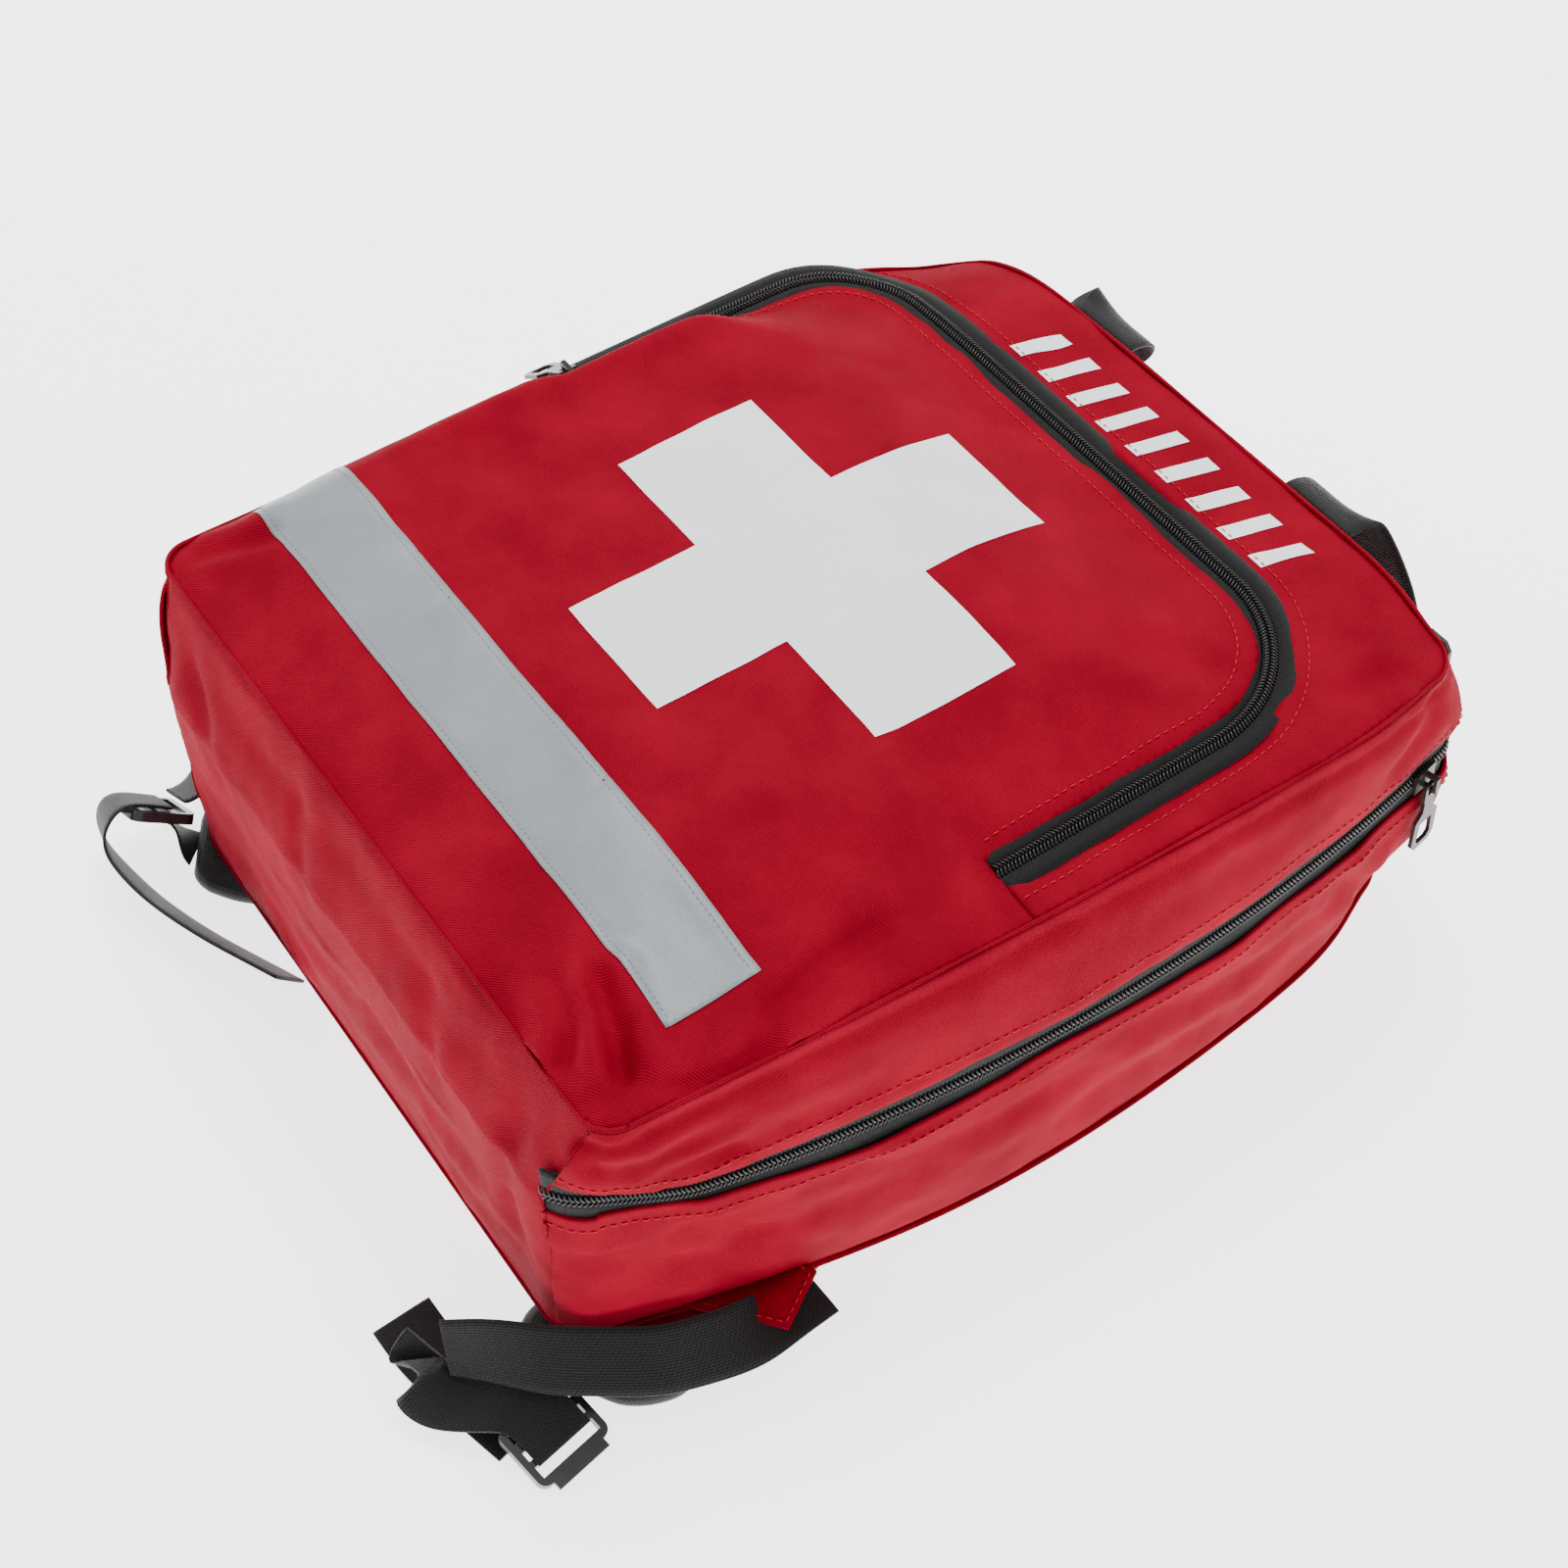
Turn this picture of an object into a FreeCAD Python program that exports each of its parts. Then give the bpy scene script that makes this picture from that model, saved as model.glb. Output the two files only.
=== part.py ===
import FreeCAD, Part
import math
import os

from FreeCAD import Vector as V

os.makedirs("parts", exist_ok=True)

# Trauma backpack lying on its back. +X is the wearer-side right seen from the
# front, +Y the handle end, +Z out of the front panel. Millimetres.

# driving dimensions
WALL = 2.5            # lined gusset fabric
SKIN = 2.0            # front panel fabric
Z_BACK = 13.0         # outer face of the back panel
BACK_T = 3.0          # back panel
FOAM_T = 6.0          # foam behind the back panel
Z_REAR_TOP = 89.0     # edge of the rear gusset at the main zip
Z_ZIP = 101.0         # middle of the main zip
Z_FRONT_BOT = 113.0   # edge of the front gusset at the main zip
Z_SEAM = 154.0        # front seam
COIL_H = 3.0          # one coil row, across the zip
COIL_GAP = 0.5        # half gap between the two coil rows
TAPE_T = 1.2          # zip tape
WEB_W = 25.0          # strap webbing
WEB_T = 1.6
HANDLE_W = 38.0       # handle webbing
STRIP_Y0, STRIP_Y1 = -135.5, -97.5     # reflective strip, 38 wide
STRIP_X0, STRIP_X1 = -171.0, 134.5
CROSS_C = (-9.3, 20.6)                 # middle of the cross
CROSS_HALF_W = 31.2
CROSS_HALF_L = 87.6
PRINT_T = 0.4
HINGE_Y = -193.8      # lid hinge line along the bottom end
FLAP_Y = -4.0         # pocket flap fold line
PAD_T = 12.3          # shoulder pad
PAD_HALF_W = 31.0
SHIFT_X, SHIFT_Y = 9.475, 12.94            # centres the whole object on the origin

# outlines: right arc (max x, radius, centre y), left arc, top y, bottom y, corner radii
RING_BACK = dict(xr=179.5, rr=748.0, yr=56.0, xl=-185.0, rl=748.0, yl=-37.0, yt=207.5, yb=-193.5, rt=18.0, rtl=23.0, rb=20.0)
RING_ZIP = dict(xr=178.6, rr=748.0, yr=28.0, xl=-185.0, rl=748.0, yl=-9.4, yt=209.5, yb=-193.5, rt=15.0, rtl=26.0, rb=23.0)
RING_SEAM = dict(xr=168.3, rr=3740.0, yr=140.0, xl=-180.5, rl=2340.0, yl=-121.5, yt=207.5, yb=-175.8, rt=15.0, rtl=22.0, rb=13.0)
RING_P = dict(xr=160.0, rr=3740.0, yr=20.0, xl=-173.0, rl=2340.0, yl=-60.0, yt=168.0, yb=-167.0, rt=42.0, rb=24.0)
RING_P2 = dict(xr=134.5, rr=3740.0, yr=-20.0, xl=-153.5, rl=2340.0, yl=-40.0, yt=141.0, yb=-152.0, rt=30.0, rb=24.0)
RING_Q = dict(xr=104.0, rr=2400.0, yr=0.0, xl=-122.0, rl=2340.0, yl=-20.0, yt=108.0, yb=-118.0, rt=40.0, rb=36.0)
RING_S = dict(xr=52.0, rr=900.0, yr=0.0, xl=-70.0, rl=900.0, yl=0.0, yt=58.0, yb=-66.0, rt=40.0, rb=40.0)
DOME = [(RING_SEAM, 154.0), (RING_P, 157.0), (RING_P2, 158.0), (RING_Q, 168.0), (RING_S, 176.5)]

NODES = {}


def out(name, shape):
    NODES[name] = shape


def ring_wire(p, z, d=0.0):
    """closed outline of arcs and lines, moved inwards by d"""
    xr, rr, xl, rl = p["xr"] - d, p["rr"] - d, p["xl"] + d, p["rl"] - d
    yt, yb = p["yt"] - d, p["yb"] + d
    rt, rb = max(p["rt"] - d, 3.0), max(p["rb"] - d, 3.0)
    rtl = max(p.get("rtl", p["rt"]) - d, 3.0)
    cr, cl = (xr - rr, p["yr"]), (xl + rl, p["yl"])

    def corner(c, r, side, line, f, up):
        fy = line - up * f
        fx = c[0] + side * math.sqrt((r - f) ** 2 - (fy - c[1]) ** 2)
        dx, dy = fx - c[0], fy - c[1]
        n = math.hypot(dx, dy)
        on_arc = (c[0] + dx / n * r, c[1] + dy / n * r)
        on_line = (fx, line)
        mx, my = (on_arc[0] + on_line[0]) / 2 - fx, (on_arc[1] + on_line[1]) / 2 - fy
        m = math.hypot(mx, my)
        return on_arc, (fx + mx / m * f, fy + my / m * f), on_line

    br = corner(cr, rr, 1, yb, rb, -1)
    tr = corner(cr, rr, 1, yt, rt, 1)
    tl = corner(cl, rl, -1, yt, rtl, 1)
    bl = corner(cl, rl, -1, yb, rb, -1)

    def v(q):
        return V(q[0], q[1], z)

    def side_mid(c, r, side, a, b):
        ym = (a[1] + b[1]) / 2
        return (c[0] + side * math.sqrt(r * r - (ym - c[1]) ** 2), ym)

    e = [
        Part.Arc(v(br[0]), v(side_mid(cr, rr, 1, br[0], tr[0])), v(tr[0])).toShape(),
        Part.Arc(v(tr[0]), v(tr[1]), v(tr[2])).toShape(),
        Part.LineSegment(v(tr[2]), v(tl[2])).toShape(),
        Part.Arc(v(tl[2]), v(tl[1]), v(tl[0])).toShape(),
        Part.Arc(v(tl[0]), v(side_mid(cl, rl, -1, tl[0], bl[0])), v(bl[0])).toShape(),
        Part.Arc(v(bl[0]), v(bl[1]), v(bl[2])).toShape(),
        Part.LineSegment(v(bl[2]), v(br[2])).toShape(),
        Part.Arc(v(br[2]), v(br[1]), v(br[0])).toShape(),
    ]
    return Part.Wire(e)


def plate(p, z0, z1, d=0.0):
    return Part.Face(ring_wire(p, z0, d)).extrude(V(0, 0, z1 - z0))


def band(p, z0, z1, d_out, d_in):
    """upright band that follows the outline between two offsets"""
    return plate(p, z0, z1, d_out).cut(plate(p, z0 - 1, z1 + 1, d_in))


def loft(rings):
    return Part.makeLoft([ring_wire(p, z, d) for p, z, d in rings], True, True)


def box(x0, x1, y0, y1, z0, z1):
    return Part.makeBox(x1 - x0, y1 - y0, z1 - z0, V(x0, y0, z0))


# ---- gussets, bottom panel, back -------------------------------------------
BOTTOM = box(-150, 128, -300, -140, -10, 400)   # the bottom panel's share of each wall

rear_wall = loft([(RING_BACK, Z_BACK + BACK_T, 0), (RING_ZIP, Z_REAR_TOP, 0)]).cut(
    loft([(RING_BACK, Z_BACK + BACK_T, WALL), (RING_ZIP, Z_REAR_TOP, WALL)]))
front_wall = loft([(RING_ZIP, Z_FRONT_BOT, 0), (RING_SEAM, Z_SEAM, 0)]).cut(
    loft([(RING_ZIP, Z_FRONT_BOT, WALL), (RING_SEAM, Z_SEAM, WALL)]))
rear_strip = band(RING_ZIP, Z_REAR_TOP, Z_ZIP - 0.2, 0, WALL).common(BOTTOM)
front_strip = band(RING_ZIP, Z_ZIP + 0.2, Z_FRONT_BOT, 0, WALL).common(BOTTOM)

out("back_panel", plate(RING_BACK, Z_BACK, Z_BACK + BACK_T))
out("back_foam", plate(RING_BACK, Z_BACK + BACK_T, Z_BACK + BACK_T + FOAM_T, WALL + 1.5))
out("rear_gusset", rear_wall.cut(BOTTOM))
out("bottom_panel_rear", rear_wall.common(BOTTOM).fuse(rear_strip).removeSplitter())
out("front_gusset", front_wall.cut(BOTTOM))
out("bottom_panel_front", front_wall.common(BOTTOM).fuse(front_strip).removeSplitter())

NEAR_HINGE = box(-300, 300, -300, -187, 90, 112)   # the coil rows stop short of the hinge line

# ---- main zip: tapes and coil rows -----------------------------------------
out("main_zip_tape_rear", band(RING_ZIP, Z_REAR_TOP, Z_ZIP - COIL_GAP - COIL_H, 0.6, 0.6 + TAPE_T).cut(BOTTOM))
out("main_zip_tape_front", band(RING_ZIP, Z_ZIP + COIL_GAP + COIL_H, Z_FRONT_BOT, 0.6, 0.6 + TAPE_T).cut(BOTTOM))
out("main_zip_coil_rear", band(RING_ZIP, Z_ZIP - COIL_GAP - COIL_H, Z_ZIP - COIL_GAP, -0.8, 1.8).cut(BOTTOM).cut(NEAR_HINGE))
out("main_zip_coil_front", band(RING_ZIP, Z_ZIP + COIL_GAP, Z_ZIP + COIL_GAP + COIL_H, -0.8, 1.8).cut(BOTTOM).cut(NEAR_HINGE))

# ---- front: domed pocket, yoke, liner --------------------------------------


def dome(lift, d0):
    return loft([(p, z + lift, d0 if p is RING_SEAM else 0.0) for p, z in DOME])


dome_out = dome(0.0, 0.0)
dome_in = dome(-SKIN, WALL)
skin = dome_out.cut(dome_in)

# pocket zip track in plan: right edge slants in towards the top
PZ_R0, PZ_R1 = (141.0, FLAP_Y), (138.0, 155.2)
PZ_L, PZ_T = -168.3, 155.2


def pocket_face(d, z):
    dx, dy = PZ_R1[0] - PZ_R0[0], PZ_R1[1] - PZ_R0[1]
    n = math.hypot(dx, dy)
    nx, ny = dy / n, -dx / n
    ux, uy = dx / n, dy / n
    base = (PZ_R0[0] + nx * d, PZ_R0[1] + ny * d)
    a = (base[0] + ux * (FLAP_Y - base[1]) / uy, FLAP_Y)
    r, rl = max(60.0 + d, 6.0), max(42.0 + d, 6.0)
    yt, xl = PZ_T + d, PZ_L - d
    b = (base[0] + ux * (yt - base[1]) / uy, yt)
    # right corner: fillet between the slanted edge and the top line
    half = (math.pi - math.acos(-(ux * -1.0))) / 2
    ang = math.acos(max(-1, min(1, (-ux) * (-1.0) + 0)))
    t = r / math.tan(ang / 2) if ang > 1e-6 else r
    p1 = (b[0] - ux * t, b[1] - uy * t)
    p2 = (b[0] - t, b[1])
    fc = (p2[0], p2[1] - r)
    m = ((p1[0] + p2[0]) / 2 - fc[0], (p1[1] + p2[1]) / 2 - fc[1])
    ml = math.hypot(*m)
    pm = (fc[0] + m[0] / ml * r, fc[1] + m[1] / ml * r)
    q1, q2 = (xl + rl, yt), (xl, yt - rl)
    qm = (xl + rl - rl * math.sqrt(0.5), yt - rl + rl * math.sqrt(0.5))
    w = Part.Wire([
        Part.LineSegment(V(a[0], a[1], z), V(p1[0], p1[1], z)).toShape(),
        Part.Arc(V(p1[0], p1[1], z), V(pm[0], pm[1], z), V(p2[0], p2[1], z)).toShape(),
        Part.LineSegment(V(p2[0], p2[1], z), V(q1[0], q1[1], z)).toShape(),
        Part.Arc(V(q1[0], q1[1], z), V(qm[0], qm[1], z), V(q2[0], q2[1], z)).toShape(),
        Part.LineSegment(V(q2[0], q2[1], z), V(xl, FLAP_Y, z)).toShape(),
        Part.LineSegment(V(xl, FLAP_Y, z), V(a[0], a[1], z)).toShape(),
    ])
    return Part.Face(w)


def pocket_prism(d, z0, z1):
    return pocket_face(d, z0).extrude(V(0, 0, z1 - z0))


P_TAPE_OUT, P_TAPE_IN = 9.0, -11.0      # edges of the two tapes, from the zip's middle
P_GAP = 0.8                             # half gap between the pocket zip's rows
P_Z0 = 155.6                            # underside of the pocket zip's tape
channel = pocket_prism(P_TAPE_OUT, 120, 220)
flap_zone = pocket_prism(P_TAPE_IN, 120, 220)
parked = box(-176, -150, FLAP_Y - 1, 16.5, 150, 165)     # the slider parks here, below the flap's row
out("pocket_zip_tape_outer", pocket_prism(P_TAPE_OUT, P_Z0, P_Z0 + 1.2).cut(pocket_prism(P_GAP, P_Z0 - 1, P_Z0 + 3)))
out("pocket_zip_tape_inner", pocket_prism(-P_GAP, P_Z0, P_Z0 + 1.2).cut(pocket_prism(P_TAPE_IN, P_Z0 - 1, P_Z0 + 3)).cut(parked))
out("pocket_zip_coil_outer", pocket_prism(P_GAP + COIL_H, P_Z0 + 1.2, P_Z0 + 3.8).cut(pocket_prism(P_GAP, P_Z0, P_Z0 + 5)))
out("pocket_zip_coil_inner", pocket_prism(-P_GAP, P_Z0 + 1.2, P_Z0 + 3.8).cut(pocket_prism(-P_GAP - COIL_H, P_Z0, P_Z0 + 5)).cut(parked))

lower_zone = box(-400, 400, -400, FLAP_Y - 0.4, 100, 260)
upper_zone = box(-400, 400, FLAP_Y, 400, 100, 260)
out("pocket_front_lower", skin.common(box(-400, 400, -400, FLAP_Y, 100, 260)).cut(box(-153, 129, FLAP_Y - 0.4, FLAP_Y + 1, 100, 260)))
out("front_yoke", skin.common(upper_zone).cut(channel))
out("pocket_front_upper", skin.common(flap_zone))
out("pocket_liner", plate(RING_SEAM, Z_SEAM - 3.6, Z_SEAM - 2.2, WALL + 0.2).cut(front_wall))

# printed marks and the sewn reflective strip lie on the fabric
film = dome(PRINT_T, -0.1).cut(dome_out)
cx, cy = CROSS_C
cross = box(cx - CROSS_HALF_L, cx + CROSS_HALF_L, cy - CROSS_HALF_W, cy + CROSS_HALF_W, 120, 240).fuse(
    box(cx - CROSS_HALF_W, cx + CROSS_HALF_W, cy - CROSS_HALF_L, cy + CROSS_HALF_L, 120, 240)).removeSplitter()
out("cross_print_upper", film.common(cross).common(upper_zone))
out("cross_print_lower", film.common(cross).common(lower_zone))
out("reflective_strip", film.common(box(STRIP_X0, STRIP_X1, STRIP_Y0, STRIP_Y1, 120, 240)))
bars = None
for i in range(9):
    x = -75.0 + i * 19.0
    w = Part.Face(Part.makePolygon([V(x - 5, 168.5, 130), V(x + 3, 168.5, 130), V(x + 9, 190.5, 130), V(x + 1, 190.5, 130), V(x - 5, 168.5, 130)]))
    b = w.extrude(V(0, 0, 60))
    bars = b if bars is None else bars.fuse(b)
out("printed_bars", film.common(bars))

# ---- sliders and pulls ------------------------------------------------------
PIVOT_N = 5.6         # pull pivot above the coil's middle plane


def local(shape, o, u, w, n):
    """puts a shape made with hinge axis X, pull direction Y, outward Z at o"""
    m = FreeCAD.Matrix(u[0], w[0], n[0], o[0], u[1], w[1], n[1], o[1], u[2], w[2], n[2], o[2], 0, 0, 0, 1)
    s = shape.copy()
    s.Placement = FreeCAD.Placement(m).multiply(s.Placement)
    return s


def pull_shape():
    """tab with a crossbar on the pivot, a slot for the bridge and a ring end"""
    def prism(pts, t):
        return Part.Face(Part.makePolygon([V(x, y, -t / 2) for x, y in pts + pts[:1]])).extrude(V(0, 0, t))
    body = prism([(-4.0, -0.9), (4.0, -0.9), (4.0, 7), (3.2, 10), (3.2, 15), (7.0, 19), (7.2, 33), (4.5, 36.5), (-4.5, 36.5), (-7.2, 33), (-7.0, 19), (-3.2, 15), (-3.2, 10), (-4.0, 7)], 1.6)
    slot = prism([(-2.4, 0.9), (2.4, 0.9), (2.4, 5.5), (-2.4, 5.5)], 4)
    ring = prism([(-3.6, 21.5), (3.6, 21.5), (4.4, 31.5), (2.8, 33.6), (-2.8, 33.6), (-4.4, 31.5)], 4)
    return body.cut(slot).cut(ring)


def bridge_shape():
    """arch over the pull's crossbar, standing on the outer plate"""
    o = Part.makeBox(2.2, 7.8, 6.1, V(-1.1, -3.9, -3.2))
    i = Part.makeBox(4.0, 5.0, 4.0, V(-2.0, -2.5, -2.6))
    return o.cut(i)


def slider_side(p, ang0, ang1):
    """outer plate, web and inner plate, all concentric with the zip's side arc"""
    c = (p["xr"] - p["rr"], p["yr"])

    def sector(r0, r1, z0, z1, a0, a1):
        return Part.makeCylinder(r1, z1 - z0, V(c[0], c[1], z0), V(0, 0, 1), 360).cut(
            Part.makeCylinder(r0, z1 - z0 + 2, V(c[0], c[1], z0 - 1), V(0, 0, 1), 360)).common(
            Part.Face(Part.makePolygon([V(c[0], c[1], z0), V(c[0] + 2 * r1 * math.cos(a0), c[1] + 2 * r1 * math.sin(a0), z0),
                                        V(c[0] + 2 * r1 * math.cos(a1), c[1] + 2 * r1 * math.sin(a1), z0), V(c[0], c[1], z0)])).extrude(V(0, 0, z1 - z0)))
    r = p["rr"]
    plates = sector(r + 1.3, r + 2.7, Z_ZIP - 5, Z_ZIP + 5, ang0, ang1).fuse(
        sector(r - 4.0, r - 2.4, Z_ZIP - 5, Z_ZIP + 5, ang0, ang1)).fuse(
        sector(r - 3.0, r + 2.0, Z_ZIP - 0.25, Z_ZIP + 0.25, ang0 + 0.3 * (ang1 - ang0), ang1 - 0.3 * (ang1 - ang0)))
    return plates, c, r


SIDE_A = math.radians(12.1)             # where the side slider stands at rest
HALF_A = 6.0 / RING_ZIP["rr"]
body, zc, zr = slider_side(RING_ZIP, SIDE_A - HALF_A, SIDE_A + HALF_A)
ca, sa = math.cos(SIDE_A), math.sin(SIDE_A)
side_o = (zc[0] + (zr + PIVOT_N) * ca, zc[1] + (zr + PIVOT_N) * sa, Z_ZIP)
side_axis = (sa, -ca, 0)                # hinge axis of the pull, towards -Y
side_n = (ca, sa, 0)
out("main_slider_side", body.fuse(local(bridge_shape(), side_o, (sa, -ca, 0), (0, 0, -1), side_n)))
out("main_pull_side", local(pull_shape(), side_o, (sa, -ca, 0), (0, 0, -1), side_n))

TOP_X = 134.0                           # where the top slider stands at rest
yt = RING_ZIP["yt"]
top_body = box(TOP_X - 6, TOP_X + 6, yt + 1.3, yt + 2.7, Z_ZIP - 5, Z_ZIP + 5).fuse(
    box(TOP_X - 6, TOP_X + 6, yt - 4.0, yt - 2.4, Z_ZIP - 5, Z_ZIP + 5)).fuse(
    box(TOP_X - 2.4, TOP_X + 2.4, yt - 3.0, yt + 2.0, Z_ZIP - 0.25, Z_ZIP + 0.25))
top_o = (TOP_X, yt + PIVOT_N, Z_ZIP)
out("main_slider_top", top_body.fuse(local(bridge_shape(), top_o, (1, 0, 0), (0, 0, 1), (0, -1, 0)).mirror(V(0, yt + PIVOT_N, 0), V(0, 1, 0))))
lean = math.radians(3.0)                # the pull leans back onto the gusset
out("main_pull_top", local(pull_shape(), top_o, (1, 0, 0), (0, -math.sin(lean), math.cos(lean)), (0, -math.cos(lean), -math.sin(lean))))

PS_Y = 8.0                              # where the pocket slider stands at rest
pz = P_Z0 + 2.5
pocket_body = box(PZ_L - 2.5, PZ_L + 5, PS_Y - 6, PS_Y + 6, pz + 1.8, pz + 3.2).fuse(
    box(PZ_L - 3.9, PZ_L - 2.0, PS_Y - 2.2, PS_Y + 2.2, pz + 1.8, pz + 3.2)).fuse(
    box(PZ_L - 2.5, PZ_L + 5, PS_Y - 6, PS_Y + 6, pz - 3.9, pz - 2.9)).fuse(
    box(PZ_L - 0.25, PZ_L + 0.25, PS_Y - 2.4, PS_Y + 2.4, pz - 3.2, pz + 2.2))
pocket_o = (PZ_L, PS_Y, pz + 6.1)
out("pocket_slider", pocket_body.fuse(local(bridge_shape(), pocket_o, (0, 1, 0), (-1, 0, 0), (0, 0, 1))))
plean = math.radians(35.0)              # hangs down over the pocket's left edge
out("pocket_pull", local(pull_shape(), pocket_o, (0, 1, 0), (-math.cos(plean), 0, -math.sin(plean)), (-math.sin(plean), 0, math.cos(plean))))

# ---- webbing ----------------------------------------------------------------


def unit(v):
    n = math.sqrt(sum(c * c for c in v))
    return tuple(c / n for c in v)


def ribbon(sections, width, thick, facets=False):
    """flat webbing through (centre, width direction) sections"""
    wires = []
    for i, (c, w) in enumerate(sections):
        a = sections[max(i - 1, 0)][0]
        b = sections[min(i + 1, len(sections) - 1)][0]
        t = unit([b[k] - a[k] for k in range(3)])
        w = unit(w)
        dot = sum(w[k] * t[k] for k in range(3))
        w = unit([w[k] - 0.85 * dot * t[k] for k in range(3)])
        n = unit((t[1] * w[2] - t[2] * w[1], t[2] * w[0] - t[0] * w[2], t[0] * w[1] - t[1] * w[0]))
        pts = []
        for sw, sn in ((-1, -1), (1, -1), (1, 1), (-1, 1)):
            pts.append(V(*[c[k] + sw * w[k] * width / 2 + sn * n[k] * thick / 2 for k in range(3)]))
        wires.append(pts)
    if not facets:
        return Part.makeLoft([Part.makePolygon(p + p[:1]) for p in wires], True, True)
    tri = []
    for a, b in zip(wires[:-1], wires[1:]):
        for k in range(4):
            m = (k + 1) % 4
            tri += [(a[k], b[k], b[m]), (a[k], b[m], a[m])]
    for p in (wires[0], wires[-1]):
        tri += [(p[0], p[1], p[2]), (p[0], p[2], p[3])]
    shell = Part.makeShell([Part.Face(Part.makePolygon(list(t) + [t[0]])) for t in tri])
    shell.sewShape()
    return Part.makeSolid(shell)


HX = -3.0
HANDLE_PATH = [(68, 133.4), (84, 131), (98, 118), (97, 101), (84, 88), (60, 80), (30, 77), (0, 76)]


def flat_band(path, width, y0, y1):
    """flat band of one width along a path in the XZ plane, rounded at its turns"""
    out_shape = None
    for i, (x, z) in enumerate(path):
        piece = Part.makeCylinder(width / 2, y1 - y0, V(x, y0, z), V(0, 1, 0))
        out_shape = piece if out_shape is None else out_shape.fuse(piece)
        if i:
            px, pz_ = path[i - 1]
            n = math.hypot(x - px, z - pz_)
            ox, oz = -(z - pz_) / n * width / 2, (x - px) / n * width / 2
            pts = [V(px + ox, y0, pz_ + oz), V(x + ox, y0, z + oz), V(x - ox, y0, z - oz), V(px - ox, y0, pz_ - oz)]
            out_shape = out_shape.fuse(Part.Face(Part.makePolygon(pts + pts[:1])).extrude(V(0, y1 - y0, 0)))
    return out_shape


right_half = [(x + HX, z) for x, z in HANDLE_PATH]
left_half = [(-x + HX, z) for x, z in HANDLE_PATH[:-1]][::-1]
handle = flat_band(right_half + left_half, HANDLE_W, 226.26, 227.86)
for s in (-1, 1):
    x0, x1 = sorted((HX + s * 49, HX + s * 87))
    handle = handle.fuse(box(x0, x1, 211.4, 227.86, 150.8, 152.4)).fuse(box(x0, x1, 226.26, 227.86, 133.4, 152.4))
out("carry_handle", handle.removeSplitter())

# ---- shoulder straps --------------------------------------------------------
PADS = {       # outer edge, rounded end, inner edge
    "right": ([(82, 193), (88, 94), (110, 24), (139, -40), (160, -98), (166, -139), (172, -155), (175, -167), (172, -178), (166, -187), (157, -193), (146, -197.5), (135, -202), (126, -205)],
              [(126, -205), (117, -202), (112, -190), (111, -158), (101, -112), (80, -56), (52, 8), (29, 94), (21, 193)]),
    "left": ([(-82, 193), (-88, 94), (-110, 24), (-136, -38), (-158, -95), (-171, -131), (-179, -158), (-182, -181), (-176, -190)],
             [(-149, -207), (-138, -204), (-121, -190), (-110, -162), (-98, -120), (-78, -60), (-52, 8), (-29, 94), (-21, 193)]),
}


def pad_face(name, inset, z):
    """pad outline sampled along its two edge curves, moved inwards by inset"""
    pts = []
    for edge in PADS[name]:
        c = Part.BSplineCurve()
        c.interpolate([V(x, y, 0) for x, y in edge])
        for q in c.discretize(22):
            if not pts or (q - pts[-1]).Length > 1.0:
                pts.append(q)
    if (pts[0] - pts[-1]).Length < 1.0:
        pts.pop()
    n = len(pts)
    area = sum(pts[i].x * pts[(i + 1) % n].y - pts[(i + 1) % n].x * pts[i].y for i in range(n))
    sgn = 1 if area > 0 else -1
    moved = []
    for i in range(n):
        d0 = pts[i] - pts[i - 1]
        d1 = pts[(i + 1) % n] - pts[i]
        d0.normalize()
        d1.normalize()
        n0, n1 = V(-d0.y * sgn, d0.x * sgn, 0), V(-d1.y * sgn, d1.x * sgn, 0)
        m = n0 + n1
        k = inset / max(0.3, 1.0 + n0.dot(n1))
        moved.append(V(pts[i].x + m.x * k, pts[i].y + m.y * k, z))
    return Part.Face(Part.makePolygon(moved + moved[:1]))


for side in ("right", "left"):
    inner = pad_face(side, 3.0, 0)
    outer = pad_face(side, 0.0, 0)
    low = inner.extrude(V(0, 0, 1.2))
    top = inner.copy()
    top.translate(V(0, 0, PAD_T - 1.2))
    top = top.extrude(V(0, 0, 1.2))
    foam = inner.copy()
    foam.translate(V(0, 0, 1.2))
    out("strap_pad_cover_" + side, Part.makeCompound([low, top]))
    out("strap_pad_foam_" + side, foam.extrude(V(0, 0, PAD_T - 2.4)))
    out("strap_pad_binding_" + side, outer.extrude(V(0, 0, PAD_T)).cut(inner.extrude(V(0, 0, PAD_T + 1)).fuse(inner.extrude(V(0, 0, -1)))))


def ladder_lock():
    """four-bar webbing adjuster, bars along X, webbing travels along Y"""
    f = Part.makeBox(33, 27, 4.6, V(-16.5, -13.5, -2.3))
    f = f.makeFillet(4.0, [e for e in f.Edges if abs(e.Vertexes[0].Z - e.Vertexes[1].Z) > 1])
    for y0, y1 in ((-10.3, -5.6), (-1.9, 2.2), (5.0, 10.0)):
        f = f.cut(Part.makeBox(27.4, y1 - y0, 10, V(-13.7, y0, -5)))
    lip = Part.makeBox(24, 4.5, 2.0, V(-12, 12.5, 0.3))
    return f.fuse(lip).removeSplitter()


def frame_of(bar, travel):
    bar = unit(bar)
    dot = sum(bar[k] * travel[k] for k in range(3))
    tr = unit([travel[k] - dot * bar[k] for k in range(3)])
    n = (bar[1] * tr[2] - bar[2] * tr[1], bar[2] * tr[0] - bar[0] * tr[2], bar[0] * tr[1] - bar[1] * tr[0])
    return bar, tr, n


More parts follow.
